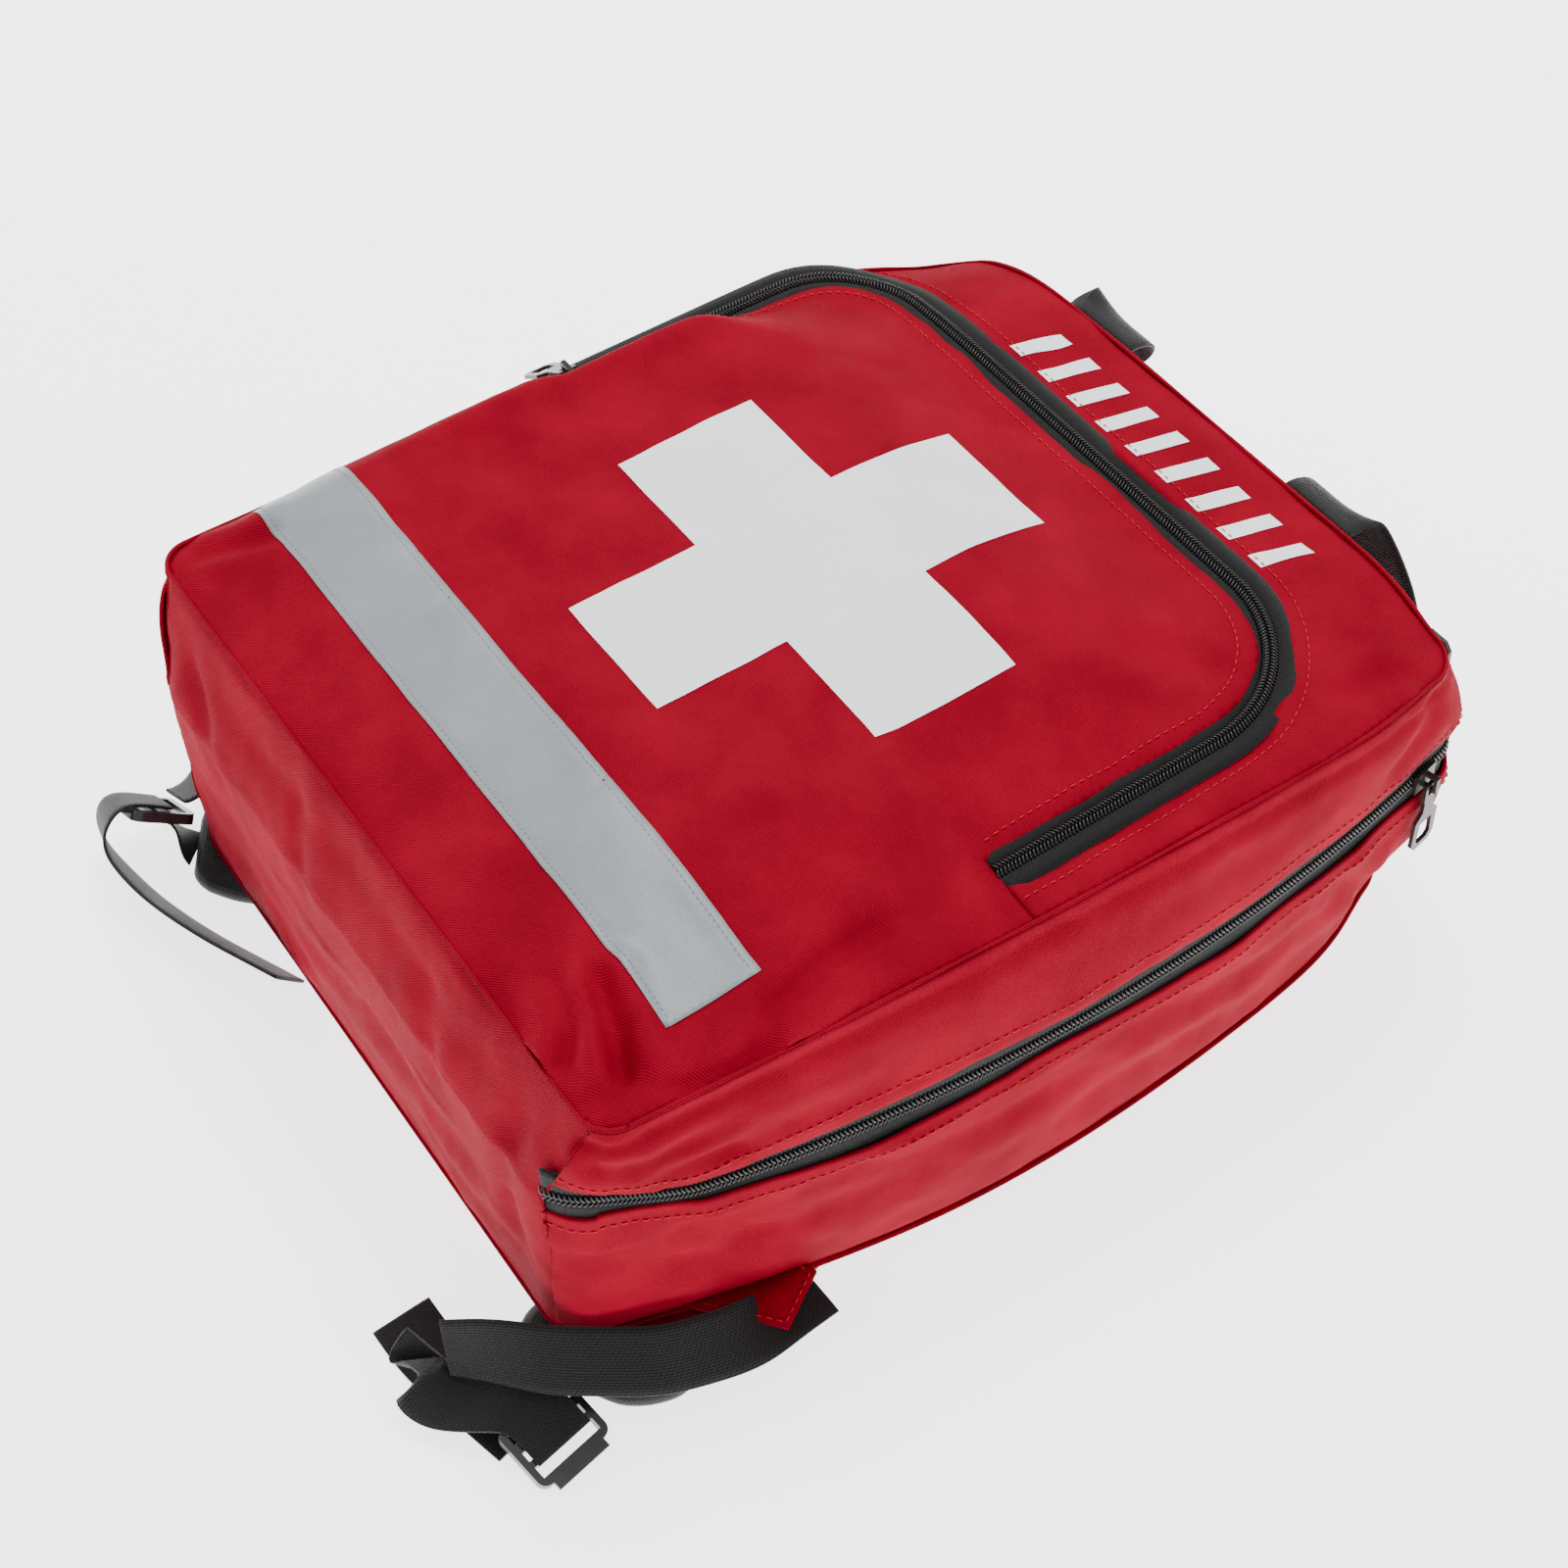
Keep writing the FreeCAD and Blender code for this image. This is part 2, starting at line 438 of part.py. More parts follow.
# right: the lock leans on the pad's end, its outer bar near the ground
lock_r_c = (162.0, -214.0, 7.0)
lock_r = frame_of((0.2, -0.98, 0), (0.937, 0.191, -0.292))
out("ladder_lock_right", local(ladder_lock(), lock_r_c, *lock_r))
# left: it stands tilted off the pad's end
lock_l_c = (-178.0, -208.0, 24.0)
lock_l = frame_of((-0.87, -0.04, -0.48), (-0.25, -0.85, 0.45))
bar_l = tuple(-k for k in lock_l[0])
out("ladder_lock_left", local(ladder_lock(), lock_l_c, *lock_l))


def lock_pt(c, f, x, y, z):
    return tuple(c[k] + f[0][k] * x + f[1][k] * y + f[2][k] * z for k in range(3))


# short loops from the pads' ends to the locks' inner bars
out("pad_loop_right", ribbon([((131.0, -206.5, 7.2), (0.2, -0.98, 0)), (lock_pt(lock_r_c, lock_r, 0, -14.0, -3.6), lock_r[0]),
                              (lock_pt(lock_r_c, lock_r, 0, -5.0, -3.6), lock_r[0])], 22.0, 1.3).cut(pad_face("right", 0, 0).extrude(V(0, 0, PAD_T))))
out("pad_loop_left", ribbon([((-162.6, -198.4, 6.5), (0.84, -0.54, 0.05)), ((-168.5, -203.5, 12.0), (0.87, -0.2, 0.3)),
                             (lock_pt(lock_l_c, lock_l, 0, -11.0, -3.4), bar_l), (lock_pt(lock_l_c, lock_l, 0, -4.0, -3.4), bar_l)], 22.0, 1.3).cut(pad_face("left", 0, 0).extrude(V(0, 0, PAD_T))))

# free ends: out of the lock, round its far bar and away over the ground
out("tail_webbing_right", ribbon([
    (lock_pt(lock_r_c, lock_r, 0, 6.0, 3.4), lock_r[0]), (lock_pt(lock_r_c, lock_r, 0, -15, 3.5), lock_r[0]),
    ((141, -227, 12.8), (0.58, -0.81, -0.05)), ((132.5, -236, 10.6), (0.72, -0.69, -0.05)),
    ((124.0, -244.0, 10.6), (0.80, -0.45, -0.4)), ((117.0, -246.5, 14.5), (0.55, -0.25, -0.8)),
    ((114.0, -241.5, 20.0), (0.35, -0.1, -0.93)), ((115.5, -236.0, 24.0), (0.40, 0.0, -0.92))], WEB_W, WEB_T))
out("tail_end_right", ribbon([((154.0, -222.5, 0.95), (0.31, -0.95, 0)), ((128, -229, 0.95), (0.31, -0.95, 0)),
                              ((103.5, -234.5, 1.0), (0.31, -0.95, 0)), ((84.5, -235.0, 1.6), (0.31, -0.95, 0))], WEB_W, WEB_T))
out("tail_webbing_left", ribbon([
    (lock_pt(lock_l_c, lock_l, 0, -4.0, 3.4), bar_l), (lock_pt(lock_l_c, lock_l, 0, 18, 4.6), bar_l),
    ((-182.5, -230.5, 29.5), (0.86, -0.05, 0.5)), ((-175.5, -233.0, 20.5), (0.8, -0.2, 0.6)),
    ((-161, -230.5, 14.4), (0.66, -0.3, 0.7)), ((-145, -227, 11.8), (0.58, -0.33, 0.75)),
    ((-127, -221.5, 11.4), (0.56, -0.34, 0.76)), ((-108, -214.5, 11.4), (0.56, -0.34, 0.76)),
    ((-90, -206.5, 11.4), (0.56, -0.34, 0.76)), ((-73, -199.0, 11.4), (0.56, -0.34, 0.76))], WEB_W, WEB_T))

# anchors on the bag: a fabric triangle in the back seam holds each lower webbing
rear_block = plate(RING_BACK, Z_BACK - 0.05, Z_BACK + BACK_T, -0.05).fuse(loft([(RING_BACK, Z_BACK + BACK_T - 0.05, -0.05), (RING_ZIP, Z_REAR_TOP, -0.05)]))
TAB_Z = 16.2
tab_r = Part.Face(Part.makePolygon([V(150, -150, TAB_Z), V(160, -103, TAB_Z), V(166.5, -101.5, TAB_Z), V(180.5, -123.5, TAB_Z), V(150, -150, TAB_Z)])).extrude(V(0, 0, 1.5))
out("anchor_tab_right", tab_r.cut(rear_block))
tab_l = Part.Face(Part.makePolygon([V(-158, -152, TAB_Z), V(-166, -105, TAB_Z), V(-177, -103, TAB_Z), V(-193, -127, TAB_Z), V(-158, -152, TAB_Z)])).extrude(V(0, 0, 1.5))
out("anchor_tab_left", tab_l.cut(rear_block))
out("anchor_webbing_right", ribbon([
    ((171.5, -104.0, 15.0), (0.97, -0.2, 0)), ((173.0, -126.0, 14.9), (0.96, -0.28, 0)), ((174.5, -140.0, 18.2), (0.80, -0.45, -0.40)),
    ((168.5, -170.0, 23.5), (0.68, -0.45, -0.57)), ((147.0, -204.0, 27.5), (0.70, -0.3, -0.64)),
    ((132.5, -218.0, 28.5), (0.55, -0.25, -0.8)), ((119.5, -232.2, 26.0), (0.42, -0.05, -0.9))], WEB_W, WEB_T).cut(rear_block).cut(tab_r))
out("anchor_webbing_left", ribbon([
    ((-190.0, -108.0, 15.0), (0.97, 0.2, 0)), ((-192.0, -128.0, 15.0), (0.97, 0.1, 0)), ((-190.5, -150.0, 21.0), (0.93, 0.05, 0.3)),
    ((-188.0, -172.0, 31.0), (0.87, 0.04, 0.48)), (lock_pt(lock_l_c, lock_l, 0, -17.0, 7.6), bar_l), (lock_pt(lock_l_c, lock_l, 0, -9.0, 6.6), bar_l)], WEB_W, WEB_T).cut(rear_block).cut(tab_l))

# ---- export -----------------------------------------------------------------
for name, shape in NODES.items():
    solids = shape.Solids
    s = solids[0] if len(solids) == 1 else Part.makeCompound(solids)
    s = s.copy()
    s.translate(V(SHIFT_X, SHIFT_Y, 0))
    if not s.isValid() or not solids:
        print("CHECK", name, "valid", s.isValid(), "solids", len(solids))
    s.exportStep("parts/%s.step" % name)
allb = Part.makeCompound([s for s in NODES.values()]).BoundBox
print("box before shift", [round(v, 2) for v in (allb.XMin, allb.XMax, allb.YMin, allb.YMax, allb.ZMin, allb.ZMax)])
print("zip centre", zc, "r", zr, "side_o", side_o, "top_o", top_o, "pocket_o", pocket_o)
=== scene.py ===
import math

import bmesh
import bpy
import numpy as np
from mathutils import Matrix, Vector, geometry, noise


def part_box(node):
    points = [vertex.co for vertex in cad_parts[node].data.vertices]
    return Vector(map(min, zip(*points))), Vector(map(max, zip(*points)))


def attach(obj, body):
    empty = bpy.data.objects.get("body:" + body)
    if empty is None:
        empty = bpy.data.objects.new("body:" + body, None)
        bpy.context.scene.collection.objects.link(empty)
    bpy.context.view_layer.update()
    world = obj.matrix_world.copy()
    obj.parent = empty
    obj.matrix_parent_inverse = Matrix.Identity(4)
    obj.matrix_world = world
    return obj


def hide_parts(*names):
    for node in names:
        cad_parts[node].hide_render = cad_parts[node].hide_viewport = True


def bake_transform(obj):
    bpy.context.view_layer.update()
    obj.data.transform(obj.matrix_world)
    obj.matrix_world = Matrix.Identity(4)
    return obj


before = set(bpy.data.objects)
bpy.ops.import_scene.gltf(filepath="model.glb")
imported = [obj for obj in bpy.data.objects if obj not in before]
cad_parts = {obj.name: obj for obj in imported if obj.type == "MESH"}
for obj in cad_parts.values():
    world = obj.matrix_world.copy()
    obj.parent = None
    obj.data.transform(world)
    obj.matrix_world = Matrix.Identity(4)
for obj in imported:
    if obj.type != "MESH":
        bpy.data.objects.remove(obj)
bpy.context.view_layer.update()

SX, SY = 9.475, 12.94          # the part's own centring shift, mm
rng = np.random.default_rng(7)

# ---------------------------------------------------------------- camera
cam_data = bpy.data.cameras.new("photo_camera")
cam = bpy.data.objects.new("photo_camera", cam_data)
bpy.context.collection.objects.link(cam)
cam_data.lens = 63.6
cam_data.sensor_width = 36.0
cam_data.sensor_fit = "HORIZONTAL"
cam_data.dof.use_dof = False
cam_data.clip_start = 0.05
cam_data.clip_end = 20.0
RIGHT = Vector((0.5567982, 0.8298070, -0.0373644))
DOWN = Vector((0.6174395, -0.4435520, -0.6496384))
FWD = Vector((-0.5556476, 0.3386473, -0.7593246))
m = Matrix.Identity(4)
for i in range(3):
    m[i][0], m[i][1], m[i][2] = RIGHT[i], -DOWN[i], -FWD[i]
m[0][3], m[1][3], m[2][3] = (619.185 + SX) / 1000, (-379.426 + SY) / 1000, 0.915558
cam.matrix_world = m
bpy.context.scene.camera = cam

# ---------------------------------------------------------------- materials


def mat_new(name):
    mt = bpy.data.materials.new(name)
    mt.use_nodes = True
    nt = mt.node_tree
    for n in list(nt.nodes):
        nt.nodes.remove(n)
    out = nt.nodes.new("ShaderNodeOutputMaterial")
    bs = nt.nodes.new("ShaderNodeBsdfPrincipled")
    nt.links.new(bs.outputs[0], out.inputs[0])
    return mt, nt, bs


def uvnode(nt, rot=0.0, scale=(1, 1, 1), source="UV"):
    tc = nt.nodes.new("ShaderNodeTexCoord")
    mp = nt.nodes.new("ShaderNodeMapping")
    mp.inputs["Rotation"].default_value = (0, 0, rot)
    mp.inputs["Scale"].default_value = scale
    nt.links.new(tc.outputs[source], mp.inputs[0])
    return mp


def ramp(nt, src, a, b, pos=(0.3, 0.7)):
    r = nt.nodes.new("ShaderNodeValToRGB")
    r.color_ramp.elements[0].position = pos[0]
    r.color_ramp.elements[1].position = pos[1]
    r.color_ramp.elements[0].color = (*a, 1)
    r.color_ramp.elements[1].color = (*b, 1)
    nt.links.new(src, r.inputs[0])
    return r


def wave(nt, vec, period, distortion=0.0, profile="SIN", direction="X", detail=2.0, dscale=1.0):
    w = nt.nodes.new("ShaderNodeTexWave")
    w.wave_type = "BANDS"
    w.bands_direction = direction
    w.wave_profile = profile
    w.inputs["Scale"].default_value = 0.31416 / period
    w.inputs["Distortion"].default_value = distortion
    w.inputs["Detail"].default_value = detail
    w.inputs["Detail Scale"].default_value = dscale
    nt.links.new(vec, w.inputs["Vector"])
    return w


def noise_tex(nt, vec, scale, detail=3.0, rough=0.5):
    n = nt.nodes.new("ShaderNodeTexNoise")
    n.inputs["Scale"].default_value = scale
    n.inputs["Detail"].default_value = detail
    n.inputs["Roughness"].default_value = rough
    nt.links.new(vec, n.inputs["Vector"])
    return n


def mixf(nt, a, b, kind="ADD", fac=1.0):
    mx = nt.nodes.new("ShaderNodeMath")
    mx.operation = kind
    nt.links.new(a, mx.inputs[0])
    if isinstance(b, float):
        mx.inputs[1].default_value = b
    else:
        nt.links.new(b, mx.inputs[1])
    return mx


def bump(nt, h, dist, strength=1.0, after=None):
    b = nt.nodes.new("ShaderNodeBump")
    b.inputs["Strength"].default_value = strength
    b.inputs["Distance"].default_value = dist
    nt.links.new(h, b.inputs["Height"])
    if after is not None:
        nt.links.new(after, b.inputs["Normal"])
    return b


def cloth_mat(name, dark, light, twill=0.85, angle=50.0, rough=0.62, sheen=0.35, tint=(1, 1, 1), weave=0.10, wrinkle=0.5, spec=0.35):
    """woven cloth: diagonal twill ribs, fine cross threads, soft wrinkles, slight colour drift"""
    mt, nt, bs = mat_new(name)
    a = uvnode(nt, math.radians(angle))
    b = uvnode(nt, math.radians(angle + 78))
    w1 = wave(nt, a.outputs[0], twill, 0.9, "SIN", "X", 2.0, 0.35)
    w2 = wave(nt, b.outputs[0], twill * 0.62, 0.7, "SIN", "X", 2.0, 0.4)
    obj = uvnode(nt, 0, (1, 1, 1), "Object")
    n1 = noise_tex(nt, obj.outputs[0], 28.0, 4.0, 0.55)
    n2 = noise_tex(nt, obj.outputs[0], 420.0, 2.0, 0.6)
    f = mixf(nt, w1.outputs["Fac"], mixf(nt, w2.outputs["Fac"], 0.45, "MULTIPLY").outputs[0])
    g = mixf(nt, f.outputs[0], mixf(nt, n2.outputs["Fac"], 0.5, "MULTIPLY").outputs[0])
    col = mixf(nt, mixf(nt, g.outputs[0], 0.22, "MULTIPLY").outputs[0], mixf(nt, n1.outputs["Fac"], 0.62, "MULTIPLY").outputs[0])
    cr = ramp(nt, col.outputs[0], dark, light, (0.28, 0.78))
    nt.links.new(cr.outputs[0], bs.inputs["Base Color"])
    b1 = bump(nt, n1.outputs["Fac"], 0.0022 * wrinkle, 0.6)
    b2 = bump(nt, g.outputs[0], 0.001 * weave, 1.0, b1.outputs[0])
    nt.links.new(b2.outputs[0], bs.inputs["Normal"])
    rr = nt.nodes.new("ShaderNodeMapRange")
    rr.inputs["To Min"].default_value = rough - 0.07
    rr.inputs["To Max"].default_value = rough + 0.10
    nt.links.new(n2.outputs["Fac"], rr.inputs["Value"])
    nt.links.new(rr.outputs[0], bs.inputs["Roughness"])
    bs.inputs["Sheen Weight"].default_value = sheen
    bs.inputs["Sheen Roughness"].default_value = 0.45
    bs.inputs["Sheen Tint"].default_value = (*tint, 1)
    bs.inputs["Specular IOR Level"].default_value = spec
    return mt


def webbing_mat(name, dark, light, rib=1.05, rough=0.5, spec=0.45):
    """ribbed webbing: cords along the length, crossed by short weft steps"""
    mt, nt, bs = mat_new(name)
    a = uvnode(nt)
    w1 = wave(nt, a.outputs[0], rib, 0.25, "SIN", "Y")
    w2 = wave(nt, a.outputs[0], rib * 0.85, 0.9, "SIN", "X", 2.0, 0.8)
    sk = uvnode(nt, math.radians(32))
    w3 = wave(nt, sk.outputs[0], rib * 1.6, 0.5, "SIN", "X")
    obj = uvnode(nt, 0, (1, 1, 1), "Object")
    n1 = noise_tex(nt, obj.outputs[0], 60.0, 3.0)
    n2 = noise_tex(nt, obj.outputs[0], 900.0, 2.0)
    f = mixf(nt, w1.outputs["Fac"], w2.outputs["Fac"], "MULTIPLY")
    f = mixf(nt, f.outputs[0], mixf(nt, w3.outputs["Fac"], 0.3, "MULTIPLY").outputs[0])
    g = mixf(nt, f.outputs[0], mixf(nt, n2.outputs["Fac"], 0.35, "MULTIPLY").outputs[0])
    c = mixf(nt, mixf(nt, g.outputs[0], 0.5, "MULTIPLY").outputs[0], mixf(nt, n1.outputs["Fac"], 0.4, "MULTIPLY").outputs[0])
    cr = ramp(nt, c.outputs[0], dark, light, (0.25, 0.95))
    nt.links.new(cr.outputs[0], bs.inputs["Base Color"])
    b = bump(nt, g.outputs[0], 0.00030, 1.0)
    nt.links.new(b.outputs[0], bs.inputs["Normal"])
    rr = nt.nodes.new("ShaderNodeMapRange")
    rr.inputs["To Min"].default_value = rough - 0.08
    rr.inputs["To Max"].default_value = rough + 0.15
    nt.links.new(n1.outputs["Fac"], rr.inputs["Value"])
    nt.links.new(rr.outputs[0], bs.inputs["Roughness"])
    bs.inputs["Sheen Weight"].default_value = 0.12
    bs.inputs["Specular IOR Level"].default_value = spec
    return mt


def hard_mat(name, dark, light, rough, metallic=0.0, spec=0.5, scale=220.0, bumpd=0.00003, coat=0.0):
    mt, nt, bs = mat_new(name)
    obj = uvnode(nt, 0, (1, 1, 1), "Object")
    n1 = noise_tex(nt, obj.outputs[0], scale, 4.0, 0.6)
    n2 = noise_tex(nt, obj.outputs[0], scale * 6, 2.0, 0.5)
    cr = ramp(nt, n1.outputs["Fac"], dark, light)
    nt.links.new(cr.outputs[0], bs.inputs["Base Color"])
    rr = nt.nodes.new("ShaderNodeMapRange")
    rr.inputs["To Min"].default_value = max(rough - 0.08, 0.03)
    rr.inputs["To Max"].default_value = rough + 0.12
    nt.links.new(n1.outputs["Fac"], rr.inputs["Value"])
    nt.links.new(rr.outputs[0], bs.inputs["Roughness"])
    b = bump(nt, n2.outputs["Fac"], bumpd, 0.6)
    nt.links.new(b.outputs[0], bs.inputs["Normal"])
    bs.inputs["Metallic"].default_value = metallic
    bs.inputs["Specular IOR Level"].default_value = spec
    bs.inputs["Coat Weight"].default_value = coat
    return mt


RED = cloth_mat("red_twill", (0.17, 0.0004, 0.0080), (0.34, 0.0008, 0.0185), 0.85, 52, 0.7, 0.02, (1.0, 0.06, 0.12), 0.16, 1.0, 0.05)
RED_IN = cloth_mat("red_lining", (0.13, 0.0004, 0.007), (0.22, 0.0008, 0.013), 1.1, 0, 0.7, 0.04, (1, 0.4, 0.4), 0.06, 0.3, 0.15)
THREAD = cloth_mat("red_thread", (0.46, 0.001, 0.014), (0.62, 0.002, 0.024), 0.5, 20, 0.5, 0.05, (1, 0.4, 0.4), 0.05, 0.1, 0.2)
BLACK_THREAD = cloth_mat("black_thread", (0.008, 0.008, 0.009), (0.03, 0.03, 0.032), 0.5, 20, 0.5, 0.2, (1, 1, 1), 0.05, 0.1)
WEB = webbing_mat("black_webbing", (0.001, 0.001, 0.0012), (0.012, 0.012, 0.0125), 1.05, 0.55, 0.22)
BIND = webbing_mat("black_binding", (0.001, 0.001, 0.001), (0.013, 0.0125, 0.012), 0.8, 0.46, 0.3)
TAPE = webbing_mat("zip_tape", (0.0008, 0.0008, 0.0008), (0.006, 0.006, 0.006), 0.7, 0.66, 0.12)
COIL = hard_mat("zip_coil", (0.0015, 0.0015, 0.0015), (0.005, 0.005, 0.005), 0.26, 0.0, 0.5, 500)
PLASTIC = hard_mat("buckle_plastic", (0.006, 0.006, 0.0065), (0.012, 0.012, 0.013), 0.28, 0.0, 0.5, 160, 0.00003, 0.2)
METAL = hard_mat("dark_zinc", (0.020, 0.017, 0.015), (0.045, 0.038, 0.033), 0.33, 0.6, 0.5, 260, 0.00004)
PRINT = cloth_mat("white_print", (0.86, 0.88, 0.91), (0.95, 0.96, 0.985), 0.85, 52, 0.5, 0.05, (1, 1, 1), 0.06, 0.35)
REFLECT = cloth_mat("reflective_tape", (0.19, 0.21, 0.225), (0.255, 0.275, 0.29), 0.55, 0, 0.36, 0.05, (1, 1, 1), 0.035, 0.6, 0.6)
GREY_THREAD = cloth_mat("grey_thread", (0.20, 0.22, 0.24), (0.32, 0.34, 0.36), 0.5, 20, 0.5, 0.1, (1, 1, 1), 0.05, 0.1)
FOAM = hard_mat("foam_sheet", (0.55, 0.54, 0.50), (0.70, 0.69, 0.65), 0.8, 0, 0.2, 300, 0.0002)
MESHY = webbing_mat("pad_mesh", (0.006, 0.006, 0.0065), (0.030, 0.030, 0.032), 1.4, 0.7, 0.2)

# ---------------------------------------------------------------- mesh tools


def soft(P):
    """the corners that hold no stuffing draw in and droop; the back edge rolls under on the right"""
    P = P.copy()
    x, y, z = P[:, 0].copy(), P[:, 1].copy(), P[:, 2].copy()

    def st_(v, a, b):
        q = np.clip((v - a) / (b - a), 0, 1)
        return q * q * (3 - 2 * q)
    w = np.exp(-((x + 178) ** 2 + (y - 207) ** 2) / 46.0 ** 2) * st_(z, 108, 152)
    P += w[:, None] * np.array([7.0, -9.0, -15.0])
    w = np.exp(-((x - 166) ** 2 + (y - 207) ** 2) / 40.0 ** 2) * st_(z, 112, 150)
    P += w[:, None] * np.array([-10.0, -6.0, -5.0])
    w = np.exp(-((x - 166) ** 2 + (y - 207) ** 2) / 44.0 ** 2) * (1 - st_(z, 18, 84)) * (z > 12.6)
    P += w[:, None] * np.array([-12.0, -8.0, 0.0])
    w = st_(y, -70, 150) * st_(x, 110, 168) * (1 - st_(z, 20, 84)) * (z > 12.6)
    P[:, 0] -= 10.0 * w
    return P


def W(P):
    P = soft(np.asarray(P, float).reshape(-1, 3))
    return (P + np.array([SX, SY, 0.0])) * 0.001


def make(name, P, faces, mat, uv=None, smooth=True, mats=None, face_mat=None):
    me = bpy.data.meshes.new(name)
    me.from_pydata(W(P).tolist(), [], [tuple(int(i) for i in f) for f in faces])
    if uv is not None:
        uv = np.asarray(uv, float)
        layer = me.uv_layers.new(name="UVMap")
        idx = np.empty(len(me.loops), int)
        me.loops.foreach_get("vertex_index", idx)
        layer.data.foreach_set("uv", uv[idx].astype(np.float32).ravel())
    for mm in (mats or [mat]):
        me.materials.append(mm)
    if face_mat is not None:
        me.polygons.foreach_set("material_index", np.asarray(face_mat, np.int32))
    if smooth:
        me.polygons.foreach_set("use_smooth", np.ones(len(me.polygons), bool))
    me.update()
    ob = bpy.data.objects.new(name, me)
    bpy.context.collection.objects.link(ob)
    return ob


def thicken(ob, t, offset=-1.0, rim_mat=None):
    md = ob.modifiers.new("thick", "SOLIDIFY")
    md.thickness = t / 1000
    md.offset = offset
    md.use_even_offset = True
    md.use_quality_normals = True
    if rim_mat is not None:
        md.material_offset = rim_mat
        md.material_offset_rim = 0
    return ob


def grid_faces(nu, nv, closed=False, flip=False):
    """vertex index = v * nu + u"""
    out = []
    lim = nu if closed else nu - 1
    for v in range(nv - 1):
        for u in range(lim):
            a, b = v * nu + u, v * nu + (u + 1) % nu
            f = (a, b, b + nu, a + nu)
            out.append(f[::-1] if flip else f)
    return out


def fbm(P, scale, octaves=3, seed=0.0):
    """smooth noise of points in mm, about -1..1"""
    out = np.empty(len(P))
    off = Vector((seed, seed * 1.7 + 3.1, seed * 0.3 - 5.0))
    for i, p in enumerate(P):
        out[i] = noise.fractal(Vector((p[0], p[1], p[2])) * (1.0 / scale) + off, 1.0, 2.0, octaves)
    return out


def tubes(name, paths, radii, mat, sides=6):
    """many short tubes: paths (N,K,3) in mm, radii (K,)"""
    paths = np.asarray(paths, float)
    N, K, _ = paths.shape
    tan = np.gradient(paths, axis=1)
    tan /= np.linalg.norm(tan, axis=2, keepdims=True) + 1e-12
    ref = np.where(np.abs(tan[..., 2:3]) < 0.9, np.array([0, 0, 1.0]), np.array([1.0, 0, 0]))
    a = np.cross(tan, ref)
    a /= np.linalg.norm(a, axis=2, keepdims=True) + 1e-12
    b = np.cross(tan, a)
    th = np.linspace(0, 2 * math.pi, sides, endpoint=False)
    r = np.asarray(radii, float)[None, :, None, None]
    V = paths[:, :, None, :] + r * (np.cos(th)[None, None, :, None] * a[:, :, None, :] + np.sin(th)[None, None, :, None] * b[:, :, None, :])
    V = V.reshape(-1, 3)
    base = []
    for k in range(K - 1):
        for s in range(sides):
            s2 = (s + 1) % sides
            base.append((k * sides + s, k * sides + s2, (k + 1) * sides + s2, (k + 1) * sides + s))
    base = np.array(base)
    F = (base[None] + (np.arange(N) * K * sides)[:, None, None]).reshape(-1, 4).tolist()
    for n in range(N):
        o = n * K * sides
        F.append([o + s for s in range(sides)][::-1])
        F.append([o + (K - 1) * sides + s for s in range(sides)])
    return make(name, V, F, mat)


def long_tube(name, path, radius, mat, sides=10, closed=False, squash_n=None):
    P = np.asarray(path, float)
    n = len(P)
    if closed:
        tan = np.roll(P, -1, 0) - np.roll(P, 1, 0)
    else:
        tan = np.gradient(P, axis=0)
    tan /= np.linalg.norm(tan, axis=1, keepdims=True)
    ref = np.tile(np.array([0, 0, 1.0]), (n, 1)) if squash_n is None else squash_n
    a = np.cross(tan, ref)
    a /= np.linalg.norm(a, axis=1, keepdims=True) + 1e-9
    b = np.cross(tan, a)
    rad = np.broadcast_to(np.asarray(radius, float), (n,)) if np.ndim(radius) < 2 else None
    th = np.linspace(0, 2 * math.pi, sides, endpoint=False)
    V = P[:, None, :] + rad[:, None, None] * (np.cos(th)[None, :, None] * a[:, None, :] + np.sin(th)[None, :, None] * b[:, None, :])
    s = np.concatenate([[0], np.cumsum(np.linalg.norm(np.diff(P, axis=0), axis=1))])
    uv = np.stack([np.repeat(s, sides), np.tile(th * float(np.mean(rad)), n)], 1)
    F = []
    lim = n if closed else n - 1
    for i in range(lim):
        j = (i + 1) % n
        for k in range(sides):
            k2 = (k + 1) % sides
            F.append((i * sides + k, i * sides + k2, j * sides + k2, j * sides + k))
    if not closed:
        F.append(list(range(sides))[::-1])
        F.append([(n - 1) * sides + k for k in range(sides)])
    return make(name, V.reshape(-1, 3), F, mat, uv)


def resample(P, step=None, n=None):
    P = np.asarray(P, float)
    d = np.concatenate([[0], np.cumsum(np.linalg.norm(np.diff(P, axis=0), axis=1))])
    if n is None:
        n = max(2, int(round(d[-1] / step)) + 1)
    t = np.linspace(0, d[-1], n)
    return np.stack([np.interp(t, d, P[:, k]) for k in range(P.shape[1])], 1), t


def catmull(P, per=10):
    P = np.asarray(P, float)
    Q = np.vstack([2 * P[0] - P[1], P, 2 * P[-1] - P[-2]])
    out = []
    for i in range(1, len(Q) - 2):
        p0, p1, p2, p3 = Q[i - 1], Q[i], Q[i + 1], Q[i + 2]
        for k in range(per):
            t = k / per
            out.append(0.5 * (2 * p1 + (p2 - p0) * t + (2 * p0 - 5 * p1 + 4 * p2 - p3) * t * t + (3 * p1 - p0 - 3 * p2 + p3) * t ** 3))
    out.append(Q[-2])
    return np.array(out)


def sstep(x, a, b):
    t = np.clip((np.asarray(x, float) - a) / (b - a), 0, 1)
    return t * t * (3 - 2 * t)


